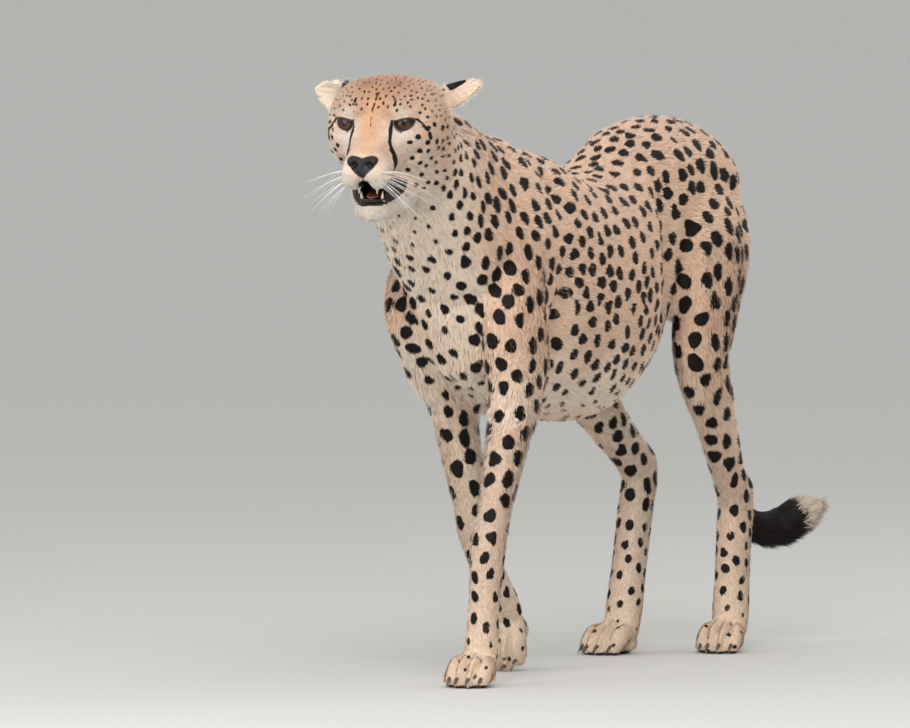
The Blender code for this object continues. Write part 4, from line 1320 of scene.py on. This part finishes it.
def marked(tree, bare=0.0):
    """The coat's colour, black where its mark is under nothing, the edge roughened by fine noise."""
    rough = node(tree, "ShaderNodeTexNoise", {}, Vector=on_body(tree), Scale=700.0, Detail=2.0)
    mark = attribute(tree, "mark", output=2) + (rough - 0.5) * EDGE_ROUGH
    dark = node(tree, "ShaderNodeMapRange", {}, mark, -MARK_EDGE, MARK_EDGE, 1.0, 0.0) * (1 - bare)
    return mixed(tree, dark, attribute(tree, "coat"), (*BLACK, 1))


tree, inputs = material("hide", Specular_IOR_Level=0.35)
bare = attribute(tree, "bare", output=2)
join(tree, marked(tree, bare), inputs["Base Color"])
join(tree, 0.85 - 0.44 * bare, inputs["Roughness"])
hairs = node(tree, "ShaderNodeTexNoise", {}, Vector=on_body(tree), Scale=900.0, Detail=3.0)
pores = node(tree, "ShaderNodeTexVoronoi", {}, Vector=on_body(tree), Scale=620.0)
bumped(tree, inputs, hairs * (1 - bare) + pores * bare * 0.5, 0.55, 0.0006)

tree, inputs = material("mouth lining", Roughness=0.35, Coat_Weight=0.35, Coat_Roughness=0.2)
join(tree, attribute(tree, "coat"), inputs["Base Color"])
folds = node(tree, "ShaderNodeTexNoise", {}, Vector=on_body(tree), Scale=240.0, Detail=2.0)
bumped(tree, inputs, folds, 0.5, 0.0008)

tree, inputs = material("coat", Roughness=0.62, Specular_IOR_Level=0.25)
join(tree, marked(tree), inputs["Base Color"])

HIDE_PAINTED_SHADE = 0.80  # painted shade: the hide is darkened as if shaded by the hair over it

normals = normals_at(points, triangles)
skin, kind = bare_distance(points)
bareness = 1 - blend(-0.0005, 0.0006, skin)
colours, marks = markings(points, normals)
# Painted shade: the hide between the tufts is darkened.
colours = colours * HIDE_PAINTED_SHADE
skins = np.array((NOSE_SKIN, LIP_SKIN, LIP_SKIN, LIP_SKIN))[kind]
colours += (skins - colours) * bareness[:, None]
aside, back, up = np.abs(hide_local[:, 0]), hide_local[:, 1], hide_local[:, 2]
# Painted shade: the hollows of the nostrils are darkened almost to black.
for place, width, _ in NOSTRILS:
    inside = np.exp(-((aside - place[0]) ** 2 + (up - place[2]) ** 2) / width ** 2)
    colours *= 1 - 0.9 * (inside * (kind == 0) * bareness)[:, None]
inner = np.bincount(triangles[lining == 1].ravel(), minlength=len(points)) > 0
inner[rim_points] = False
upper_lip = blend(-0.0900, -0.0840, up) * blend(0.0, -0.02, back)
# Painted shade: the lining darkens towards the back of the mouth's hollow.
gums = MOUTH_SKIN * (1 - 0.85 * blend(-0.045, 0.010, back)[:, None])
colours[inner] = (gums + (LIP_SKIN - gums) * upper_lip[:, None])[inner]
painted(hide, "coat", colours)
valued(hide, "bare", bareness)
valued(hide, "mark", marks)
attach(hide, "root")
FLESH = [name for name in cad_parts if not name.startswith(("eye_", "claw_", "tongue"))]
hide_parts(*FLESH)

# ---- The coat ------------------------------------------------------------------------------
# Short hair in thin, overlapping tufts, each a tapered blade rooted in the hide. They lie back
# along the body, longest under the throat, on the chest, the belly and at the end of the tail.

BLADE_REACH = (0, 0.45, 1)  # root, middle and tip along a tuft
BLADE_RISE = (-0.10, 0.55, 1.00)  # height over the hide at the same places, by the coat's depth
BLADE_PAINTED_SHADE = (0.66, 0.66, 0.95, 0.95, 1.05)  # painted shade: a tuft is darkest at its root, as if shaded inside the coat, and brightest at its tip
PATCH = 0.003  # size of a tuft on its map


def coat_sizes(points, normals):
    """Length, width and spacing of the tufts at each place, and their rise by the coat's depth."""
    y, z = points[:, 1], points[:, 2]
    local = to_head(points)
    run, far = tail_place(points)
    sizes = np.tile((0.0100, 0.0010, 0.00190, 1.0), (len(points), 1))
    head = nearness(local, SKULL_MIDDLE, 0.095, 0.15)
    under = blend(-0.05, -0.7, normals[:, 2])
    throat = blend(0.10, -0.40, normals[:, 2]) * blend(-0.34, -0.44, y) * (1 - head)
    chest = blend(-0.2, -0.8, normals[:, 1]) * blend(-0.28, -0.36, y) * blend(0.33, 0.38, z)
    tail = 1 - blend(0.03, 0.05, far)
    crown = head * np.exp(-((local - (0, 0.050, 0.065)) / (0.060, 0.050, 0.030)) ** 2).prod(axis=1)
    ruff = np.exp(-((np.abs(local) - (0.072, 0.068, 0.030)) / (0.030, 0.022, 0.040)) ** 2).prod(axis=1)
    for share, new in (
        (blend(0.36, 0.28, z), (0.0075, 0.0009, 0.0017, 1.0)),  # legs
        (blend(0.12, 0.05, z), (0.0050, 0.0008, 0.0014, 1.0)),  # feet
        (under * blend(0.33, 0.37, z) * blend(0.52, 0.42, z), (0.0170, 0.0011, 0.0020, 1.4)),
        (chest, (0.0130, 0.0010, 0.0018, 1.2)),
        (throat, (0.0135, 0.0009, 0.0017, 1.4)),
        (tail, (0.0120, 0.0010, 0.0017, 1.2)),
        (tail * blend(tail_run[-1] - 0.16, tail_run[-1] - 0.06, run), (0.0300, 0.0013, 0.0014, 2.8)),
        (head, (0.0070, 0.0007, 0.00118, 1.5)),
        (crown, (0.0085, 0.0007, 0.00110, 2.4)),
        (ruff, (0.0155, 0.0009, 0.00125, 4.0)),
        (head * blend(0.05, -0.01, local[:, 1]), (0.0036, 0.0006, 0.00085, 1.0)),
        (head * blend(0.02, -0.045, local[:, 1]), (0.0026, 0.0005, 0.00080, 1.0)),
    ):
        sizes += (np.array(new) - sizes) * share[:, None]
    for ear in EARS.values():
        near, share = along_capsule(local, ear["base"], ear["tip"])
        on_ear = (1 - blend(0.028, 0.036, near)) * blend(0.05, 0.25, share)
        opening = np.array(ear["opening"])
        within = blend(0.1, 0.5, normals @ (opening / np.linalg.norm(opening) @ HEAD_AXES))
        sizes += (np.array((0.0055, 0.0007, 0.0011, 1.2)) - sizes) * on_ear[:, None]
        sizes += (np.array((0.0190, 0.0008, 0.0011, 5.0)) - sizes) * (on_ear * within * (1 - share))[:, None]
    return sizes.T


def unwrapped(faces):
    """Map of these faces of the hide, opened flat: three pairs of numbers for each face."""
    used, rows = np.unique(faces, return_inverse=True)
    flat = add_mesh("unwrap", points[used], rows.reshape(-1, 3).tolist())
    bpy.context.view_layer.objects.active = flat
    flat.select_set(True)
    flat.data.uv_layers.new(name="OFBake")
    bpy.ops.object.mode_set(mode="EDIT")
    bpy.ops.mesh.select_all(action="SELECT")
    bpy.ops.uv.smart_project(angle_limit=1.15, island_margin=0.002, scale_to_bounds=True)
    bpy.ops.object.mode_set(mode="OBJECT")
    places = np.empty(len(faces) * 6, np.float32)
    flat.data.uv_layers["OFBake"].data.foreach_get("uv", places)
    bpy.data.objects.remove(flat)
    return places.reshape(-1, 3, 2)


def blades(root, normal, lie, length, width, depth, random):
    """Points of the tufts, five each: two at the root, two at the middle and the tip.

    A blade's middle line is root + length s lie + depth rise(s) normal, turned a little at random.
    The direction by which it is shaded lies between the hide's own and the blade's.
    """
    count = len(root)
    turn = random.normal(0, 0.16, (count, 1)) + 0.22 * wander(root, 0.020, 31)[:, None]
    across = length_one(np.cross(lie, normal))
    lie, across = turned(lie, across, turn)
    twist = random.normal(0, 0.30, (count, 1))
    across = turned(across, normal, twist)[0]
    length = (length * random.uniform(0.75, 1.15, count))[:, None]
    width = (width * random.uniform(0.75, 1.2, count))[:, None]
    depth = (depth * random.uniform(0.55, 1.0, count))[:, None]
    low, middle, high = (root + length * s * lie + depth * rise * normal
                         for s, rise in zip(BLADE_REACH, BLADE_RISE))
    wide = width / 2 * across
    facing = np.cross(lie, across)
    shading = length_one(normal + 0.35 * facing * np.sign((facing * normal).sum(axis=1))[:, None])
    outline = (low - wide * 0.6, low + wide * 0.6, middle + wide, middle - wide, high)
    return np.stack(outline, axis=1), shading


BLADE_FACES = np.array(((0, 1, 2), (0, 2, 3), (3, 2, 4)))
BLADE_MAP = np.array(((-0.3, 0), (0.3, 0), (0.5, 0.45), (-0.5, 0.45), (0, 1)))


def add_triangles(name, points, triangles):
    """A mesh object from arrays of points and of triangles, shaded smooth."""
    mesh = bpy.data.meshes.new(name)
    mesh.vertices.add(len(points))
    mesh.vertices.foreach_set("co", points.astype(np.float32).ravel())
    mesh.loops.add(triangles.size)
    mesh.loops.foreach_set("vertex_index", triangles.astype(np.int32).ravel())
    mesh.polygons.add(len(triangles))
    mesh.polygons.foreach_set("loop_start", np.arange(0, triangles.size, 3, dtype=np.int32))
    mesh.update(calc_edges=True)
    mesh.shade_smooth()
    made = bpy.data.objects.new(name, mesh)
    bpy.context.scene.collection.objects.link(made)
    return made


corner_sizes = coat_sizes(points, normals)
flow = along_body(points, normals)
depths = coat_depth(points + DRAWN_MIDDLE)
middles = points[triangles].mean(axis=1)
middle_local = to_head(middles)
in_head = np.linalg.norm(middle_local - SKULL_MIDDLE, axis=1) < 0.125
in_head &= (middle_local[:, 1] < 0.11) | (np.abs(middle_local[:, 0]) > 0.075)
below = middles[:, 2] < 0.37
parts = np.select(
    [in_head & (middle_local[:, 1] < 0.035), in_head, middles[:, 1] < -0.335, tail_place(middles)[1] < 0.04,
     below & (middles[:, 1] < 0.03), below, middles[:, 1] > 0.20, middles[:, 0] > 0], range(8), 8)
parts = np.where(below & (np.abs(middles[:, 1] + 0.36) < 0.12), 4, parts)
PART_NAMES = ("face", "head", "neck", "tail", "fore_legs", "hind_legs", "rump", "side_left",
              "side_right")
MOST_TUFTS = 66000  # in one part
BARE_MARGIN = 0.0004

for part, name in enumerate(PART_NAMES):
    faces = triangles[(parts == part) & (lining == 0)]
    random = np.random.default_rng(100 + part)
    spacing = corner_sizes[2][faces].mean(axis=1)
    a, b, c = (points[faces[:, k]] for k in range(3))
    wanted = (np.linalg.norm(np.cross(b - a, c - a), axis=1) / 2 / spacing ** 2).sum()
    count = int(min(wanted, MOST_TUFTS) / (1))
    chosen, share = scattered(points, faces, count, random, spacing)
    corners = faces[chosen]
    root, normal, lie = ((values[corners] * share).sum(axis=1) for values in (points, normals, flow))
    normal, lie = length_one(normal), length_one(lie)
    length, width, _, rise = ((values[corners] * share[..., 0]).sum(axis=1) for values in corner_sizes)
    depth = rise * (depths[corners] * share[..., 0]).sum(axis=1)
    tufts, shading = blades(root, normal, lie, length, width, depth, random)
    # Tufts that would start on bare skin, or hang over the eyes, are left out.
    clear = bare_distance(root)[0] > BARE_MARGIN
    clear &= bare_distance(tufts[:, 4])[0] > BARE_MARGIN
    tufts, root, normal, shading = tufts[clear], root[clear], normal[clear], shading[clear]
    count = len(tufts)
    # The tip has its own place's colour; marks are measured at the root, the middle and the tip.
    low, middle, high = (markings(place, normal) for place in
                         (tufts[:, :2].mean(axis=1), tufts[:, 2:4].mean(axis=1), tufts[:, 4]))
    light = random.normal(1, 0.08, (count, 1))
    # Painted shade: each tuft's colour darkens from its tip to its root, as if the coat shaded its own
    # roots.
    colours = np.stack([middle[0]] * 4 + [high[0]], axis=1) * np.array(BLADE_PAINTED_SHADE)[:, None]
    colours = np.clip(colours * light[:, None], 0, 1)
    marks = np.stack([low[1], low[1], middle[1], middle[1], high[1]], axis=1)
    piece = add_triangles("coat_" + name, tufts.reshape(-1, 3),
                          (np.arange(count)[:, None, None] * 5 + BLADE_FACES).reshape(-1, 3))
    piece.data.normals_split_custom_set_from_vertices(np.repeat(shading, 5, axis=0).astype(np.float32))
    painted(piece, "coat", colours.reshape(-1, 3))
    valued(piece, "mark", marks.ravel())
    places = (unwrapped(faces)[chosen] * share).sum(axis=1)[clear]
    places = places[:, None] + BLADE_MAP * PATCH
    layer = piece.data.uv_layers.new(name="OFBake")
    layer.data.foreach_set("uv", places[:, BLADE_FACES].astype(np.float32).ravel())
    piece.data.materials.append(bpy.data.materials["coat"])
    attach(piece, "root")

# ---- The eyes ------------------------------------------------------------------------------
# Two balls in their sockets, with a round pupil and a deep amber iris under the wet cornea. The
# black rims of the lids lie against them.

IRIS_REACH = 0.0118
PUPIL_REACH = 0.0038
IRIS_INNER = tint(88, 50, 28)
IRIS_OUTER = tint(44, 25, 15)
EYE_DARK = tint(14, 9, 8)
GAZE_DROP = math.radians(7)
FIBRES = ((31, 0.4), (47, 2.0), (73, 4.1))  # of the iris: how many round it, and where they start
FIBRE_SLANT = 900


def strand(path, reach, around=8, up=(0, 0, 1), closed=False):
    """A round strand along a path: centre + reach (cosine side + sine over), the side level with up."""
    path = np.asarray(path, float)
    along = np.roll(path, -1, axis=0) - np.roll(path, 1, axis=0) if closed else np.gradient(path, axis=0)
    side = length_one(np.cross(length_one(along), up))
    over = length_one(np.cross(side, along))
    angle = np.linspace(0, 2 * math.pi, around, endpoint=False)[:, None]
    reach = np.broadcast_to(reach, len(path))[:, None, None]
    rings = path[:, None] + reach * (np.cos(angle) * side[:, None] + np.sin(angle) * over[:, None])
    if not closed:
        return grid_form(rings)
    ring, spoke = np.meshgrid(np.arange(len(path)), np.arange(around), indexing="ij")
    next_ring, after = (ring + 1) % len(path), (spoke + 1) % around
    quads = np.stack([ring * around + spoke, ring * around + after,
                      next_ring * around + after, next_ring * around + spoke], axis=-1)
    return rings.reshape(-1, 3), quads.reshape(-1, 4).tolist()


def horn(base, tip, reach, bow=(0, 0, 0), around=14):
    """A tooth or claw: a strand from base to tip that tapers as 1 - s to the power 1.7, and bows."""
    rise = np.linspace(0, 1, 16)[:, None]
    path = np.array(base) + (np.array(tip) - base) * rise + 4 * np.array(bow) * rise * (1 - rise)
    return strand(path, reach * (1 - rise[:, 0] ** 1.7) + 0.0001, around, up=(0, 1, 0.3))


tree, inputs = material("eye", Roughness=0.04, Specular_IOR_Level=0.42)
join(tree, attribute(tree, "iris"), inputs["Base Color"])
for side, name in ((1, "eye_left"), (-1, "eye_right")):
    out, look, rise = eye_axes(side)
    turn = np.concatenate([np.linspace(0.008, 0.95, 50), np.linspace(1.0, math.pi - 0.02, 16)])[:, None]
    angle = np.linspace(0, 2 * math.pi, 120, endpoint=False)
    ball = np.cos(turn)[..., None] * look
    ball = ball + np.sin(turn)[..., None] * (np.cos(angle)[:, None] * out + np.sin(angle)[:, None] * rise)
    form_points, form_faces = grid_form(ball * eye_radius)
    gaze = look * math.cos(GAZE_DROP) - rise * math.sin(GAZE_DROP)
    reach = np.arccos(np.clip(form_points @ gaze / eye_radius, -1, 1)) * eye_radius
    around_eye = np.arctan2(form_points @ rise + math.sin(GAZE_DROP) * eye_radius, form_points @ out)
    fibres = sum(np.sin(around_eye * count + start + FIBRE_SLANT * reach) for count, start in FIBRES)
    share = blend(PUPIL_REACH, IRIS_REACH, reach)[:, None]
    colours = (IRIS_INNER * (1 - share) + IRIS_OUTER * share) * (1 + 0.13 * fibres[:, None])
    colours += (EYE_DARK - colours) * blend(IRIS_REACH - 0.0012, IRIS_REACH + 0.0002, reach)[:, None]
    colours *= blend(PUPIL_REACH - 0.0002, PUPIL_REACH + 0.0002, reach)[:, None]
    corner = blend(0.0078, 0.0098, -(form_points @ out) + 0.3 * (form_points @ rise))
    # Painted shadow: the upper part of each eyeball, iris included, is darkened as if shaded by the upper
    # lid.
    painted_lid_shadow = 0.35 + 0.65 * blend(0.0042, -0.0030, form_points @ rise)
    colours = (colours + (EYE_DARK - colours) * corner[:, None]) * painted_lid_shadow[:, None]
    eye = add_mesh(name + "_ball", form_points @ HEAD_AXES + eye_centres[side], form_faces)
    painted(eye, "iris", np.clip(colours, 0.001, 1))
    eye.data.materials.append(bpy.data.materials["eye"])
    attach(eye, "root")
    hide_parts(name)

LID_RIM = 0.0010
RIM_STEPS = 72
tree, inputs = material("black skin", Base_Color=(*LIP_SKIN, 1), Roughness=0.34)
folds = node(tree, "ShaderNodeTexNoise", {}, Vector=on_body(tree), Scale=420.0, Detail=2.0)
bumped(tree, inputs, folds, 0.35, 0.0005)
rims = []
for side in (1, -1):
    out, look, rise = eye_axes(side)
    across = np.cos(np.linspace(0, 2 * math.pi, RIM_STEPS, endpoint=False))
    top, bottom = slit_edges(across)
    upper = np.arange(RIM_STEPS) < RIM_STEPS // 2
    x, y = turned(across * SLIT["half"], np.where(upper, top, bottom), -SLIT["tilt"])
    x, y = x[:, None] / eye_radius, y[:, None] / eye_radius
    path = np.cos(y) * np.sin(x) * out + np.cos(y) * np.cos(x) * look + np.sin(y) * rise
    path = path * (eye_radius + 0.0003) + (side * abs(to_head(eye_centres[side])[0]), EYE_BACK, 0.0)
    rim_form, rim_faces = strand(path, LID_RIM * (0.7 + 0.5 * upper), 8, up=look, closed=True)
    rims.append((from_head(rim_form), rim_faces))
lid_rims = add_mesh("lid_rims", *joined(rims))
lid_rims.data.materials.append(bpy.data.materials["black skin"])
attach(lid_rims, "root")

# ---- The mouth -----------------------------------------------------------------------------
# Wet black lips round the opening, the four long canines and the small front teeth in their
# gums, and the tongue low behind them.

# The lips run along the edges that the hide and the lining of the mouth share, in order round them.
size = len(points)
edge_numbers = [np.sort(triangles[lining == part][:, ((0, 1), (1, 2), (2, 0))].reshape(-1, 2), axis=1)
                @ (size, 1) for part in (1, 0)]
shared = np.intersect1d(*edge_numbers)
neighbours = {}
for first, second in zip(shared // size, shared % size):
    neighbours.setdefault(int(first), []).append(int(second))
    neighbours.setdefault(int(second), []).append(int(first))
loop = [int(shared[0] // size)]
before = -1
while len(loop) < len(neighbours):
    following = [other for other in neighbours[loop[-1]] if other != before]
    before = loop[-1]
    if following[0] == loop[0]:
        break
    loop.append(following[0])
lip_path = to_head(points[loop])
for _ in range(6):
    lip_path = (np.roll(lip_path, 1, axis=0) + 2 * lip_path + np.roll(lip_path, -1, axis=0)) / 4
lower = blend(-0.0935, -0.0985, lip_path[:, 2])
lip_path[:, 1] -= 0.0010 * lower
lips = add_mesh("lips", *strand(from_head(lip_path), 0.0009 + 0.0008 * lower, 10,
                                up=HEAD_AXES[1], closed=True))
lips.data.materials.append(bpy.data.materials["black skin"])
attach(lips, "root")

# Upper and lower canines: root, tip, half width at the root and bow; then the lower front teeth.
CANINES = (
    ((0.0118, -0.0240, -0.0740), (0.0128, -0.0280, -0.0955), 0.0034, (0, -0.0012, 0)),
    ((0.0140, -0.0060, -0.1090), (0.0152, -0.0110, -0.0905), 0.0033, (0, -0.0014, 0)),
)
FRONT_TEETH = (-0.0085, -0.0052, -0.0018, 0.0018, 0.0052, 0.0085)
teeth = []
for side in (1, -1):
    for root, tip, reach, bow in CANINES:
        teeth.append(horn(np.multiply(root, (side, 1, 1)), np.multiply(tip, (side, 1, 1)), reach, bow))
for place in FRONT_TEETH:
    front = -0.0150 + abs(place) * 0.25
    teeth.append(horn((place, front, -0.1090), (place, front - 0.0006, -0.1018), 0.0018))
form_points, form_faces = joined(teeth)
teeth = add_mesh("teeth", from_head(form_points), form_faces)
material("enamel", Base_Color=(0.70, 0.60, 0.43, 1), Roughness=0.22, Coat_Weight=0.5)
teeth.data.materials.append(bpy.data.materials["enamel"])
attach(teeth, "root")

form_points, form_faces = tube((
    (0, -0.0150, -0.0995, 0.0050, 0.0015, 0.0015),
    (0, -0.0110, -0.0990, 0.0080, 0.0025, 0.0025),
    (0, 0.0020, -0.0960, 0.0110, 0.0035, 0.0040),
    (0, 0.0180, -0.0910, 0.0130, 0.0035, 0.0040),
    (0, 0.0300, -0.0875, 0.0100, 0.0030, 0.0030),
), 48, 48)
form_points[:, 2] -= 0.0012 * np.exp(-(form_points[:, 0] / 0.0022) ** 2)  # the furrow down its middle
tongue = add_mesh("tongue_flesh", from_head(form_points), form_faces)
tree, inputs = material("tongue", Base_Color=(0.30, 0.075, 0.07, 1), Roughness=0.38, Coat_Weight=0.3)
buds = node(tree, "ShaderNodeTexVoronoi", {}, Vector=on_body(tree), Scale=900.0)
bumped(tree, inputs, buds, 0.5, 0.0004)
tongue.data.materials.append(bpy.data.materials["tongue"])
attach(tongue, "root")
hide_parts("tongue")

# ---- The claws -----------------------------------------------------------------------------
# Four blunt horn claws on each foot, which a cheetah can't draw in, bowed down from the toes.

CLAW_LONG, CLAW_REACH, CLAW_BOW = 0.0150, 0.0028, (0, -0.0008, 0.0022)
CLAW_DROP, FOLDED_DROP = 0.012, -0.006  # from root to tip; the paw set back on its toes carries them up

material("claw horn", Base_Color=(0.075, 0.055, 0.042, 1), Roughness=0.38)
for name, paw in PAWS.items():
    spread = paw.get("spread", 1.0)
    drop = FOLDED_DROP if "fold" in paw else CLAW_DROP
    horns = []
    for side, reach in zip(TOE_SIDES, TOE_REACH):
        root = np.array((side * spread * 1.05, -reach * 1.06, -0.0245))
        horns.append(horn(root, root + (0, -CLAW_LONG, -drop), CLAW_REACH, CLAW_BOW))
    form_points, form_faces = joined(placed(horns, paw))
    claws = add_mesh("claws_" + name, form_points - DRAWN_MIDDLE, form_faces)
    claws.data.materials.append(bpy.data.materials["claw horn"])
    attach(claws, "root")
    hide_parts(*[f"claw_{name}_{number}" for number in (1, 2, 3, 4)])

# ---- The whiskers --------------------------------------------------------------------------
# Stiff white hairs from the pads of the upper lip, and a few over each eye, bowed by their weight.

WHISKER = 0.00028  # half a whisker's width at its root


def whisker(root, towards, length, droop):
    """A hair tapering to its tip: root + length s towards, sinking by droop s squared."""
    s = np.linspace(0, 1, 12)[:, None]
    towards = np.array(towards) / np.linalg.norm(towards)
    path = np.array(root) + length * s * towards - np.array((0, 0, droop)) * s ** 2
    return strand(path, WHISKER * (1 - 0.8 * s[:, 0]), 5)


random = np.random.default_rng(41)
whiskers = []
for side in (1, -1):
    for row in range(4):
        for place in range(5):
            guess = (side * (0.024 + 0.002 * place), -0.050 + 0.0052 * place, -0.0640 - 0.0065 * row)
            root = hide_local[nearest_to(guess, hide_local)]
            towards = (side * random.uniform(0.75, 1.0), 0.05 + 0.12 * place + random.normal(0, 0.06),
                       -0.10 - 0.17 * row + random.normal(0, 0.07))
            long, droop = random.uniform(0.040, 0.066), random.uniform(0.006, 0.016)
            whiskers.append(whisker(root, towards, long, droop))
    for place in (0.026, 0.032, 0.038):
        root = hide_local[nearest_to((side * place, 0.004, 0.020), hide_local)]
        towards = (side * random.uniform(0.3, 0.6), -0.5, random.uniform(0.4, 0.8))
        whiskers.append(whisker(root, towards, random.uniform(0.022, 0.034), 0.006))
form_points, form_faces = joined(whiskers)
whiskers = add_mesh("whiskers", from_head(form_points), form_faces)
material("whisker", Base_Color=(0.86, 0.84, 0.80, 1), Roughness=0.35)
whiskers.data.materials.append(bpy.data.materials["whisker"])
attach(whiskers, "root")

# ---- Floor, light and camera ---------------------------------------------------------------
# A plain pale floor under soft lamps, seen from low beside the head with a long lens.

FLOOR_REACH = 300.0
corners = np.array(((-1, -1, 0), (1, -1, 0), (1, 1, 0), (-1, 1, 0))) * FLOOR_REACH
floor = add_mesh("floor", corners, [[0, 1, 2, 3]])
material("floor", Base_Color=(0.50, 0.49, 0.47, 1), Roughness=0.8)
floor.data.materials.append(bpy.data.materials["floor"])

HORIZON = (0.452, 0.453, 0.438)
OVERHEAD = (0.95, 0.97, 0.98)
world = bpy.data.worlds.new("studio")
world.use_nodes = True
tree = world.node_tree
direction = node(tree, "ShaderNodeTexCoord", {})
level = node(tree, "ShaderNodeSeparateXYZ", {}, direction, output=2)
above = node(tree, "ShaderNodeMapRange", {}, level, 0.0, 0.8)
sky = mixed(tree, above, (*HORIZON, 1), (*OVERHEAD, 1))
join(tree, sky, tree.nodes["Background"].inputs["Color"])
bpy.context.scene.world = world


def aimed(made, place, at):
    """An object set at a place, its own minus Z axis pointing at another place."""
    made.location = place
    made.rotation_euler = (Vector(at) - Vector(place)).to_track_quat("-Z", "Y").to_euler()


def lamp(name, place, size, power, colour):
    """A round soft lamp, aimed at the middle of the body."""
    light = bpy.data.lights.new(name, "AREA")
    light.shape, light.size, light.energy, light.color = "DISK", size, power, colour
    made = bpy.data.objects.new(name, light)
    bpy.context.scene.collection.objects.link(made)
    aimed(made, place, (0, 0, 0.45))


lamp("key", (1.5, -3.2, 2.9), 2.6, 128, (1.0, 0.97, 0.95))
lamp("fill", (-1.6, -3.4, 1.2), 2.4, 44, (0.97, 0.98, 1.0))
lamp("back", (1.4, 2.8, 2.6), 2.0, 22, (1.0, 0.98, 0.96))
bpy.context.scene.view_settings.view_transform = "Standard"

# The camera: where it looks, how far round from straight ahead it stands, and how high.
VIEW_TARGET = np.array((0.0028, -0.3346, 0.4329))
VIEW_TURN, VIEW_RISE = math.radians(26), math.radians(2.5)
VIEW_DISTANCE = 18.0
SENSOR = 36.0
WIDTH_SHOWN = 910 / 735  # metres across the picture at the target
back = np.array((math.sin(VIEW_TURN) * math.cos(VIEW_RISE), -math.cos(VIEW_TURN) * math.cos(VIEW_RISE),
                 math.sin(VIEW_RISE)))
lens = bpy.data.cameras.new("camera")
lens.sensor_width = SENSOR
lens.lens = SENSOR * VIEW_DISTANCE / WIDTH_SHOWN
lens.clip_end = 60  # past the animal and the floor round it
camera = bpy.data.objects.new("camera", lens)
bpy.context.scene.collection.objects.link(camera)
aimed(camera, VIEW_TARGET + back * VIEW_DISTANCE, VIEW_TARGET)
bpy.context.scene.camera = camera
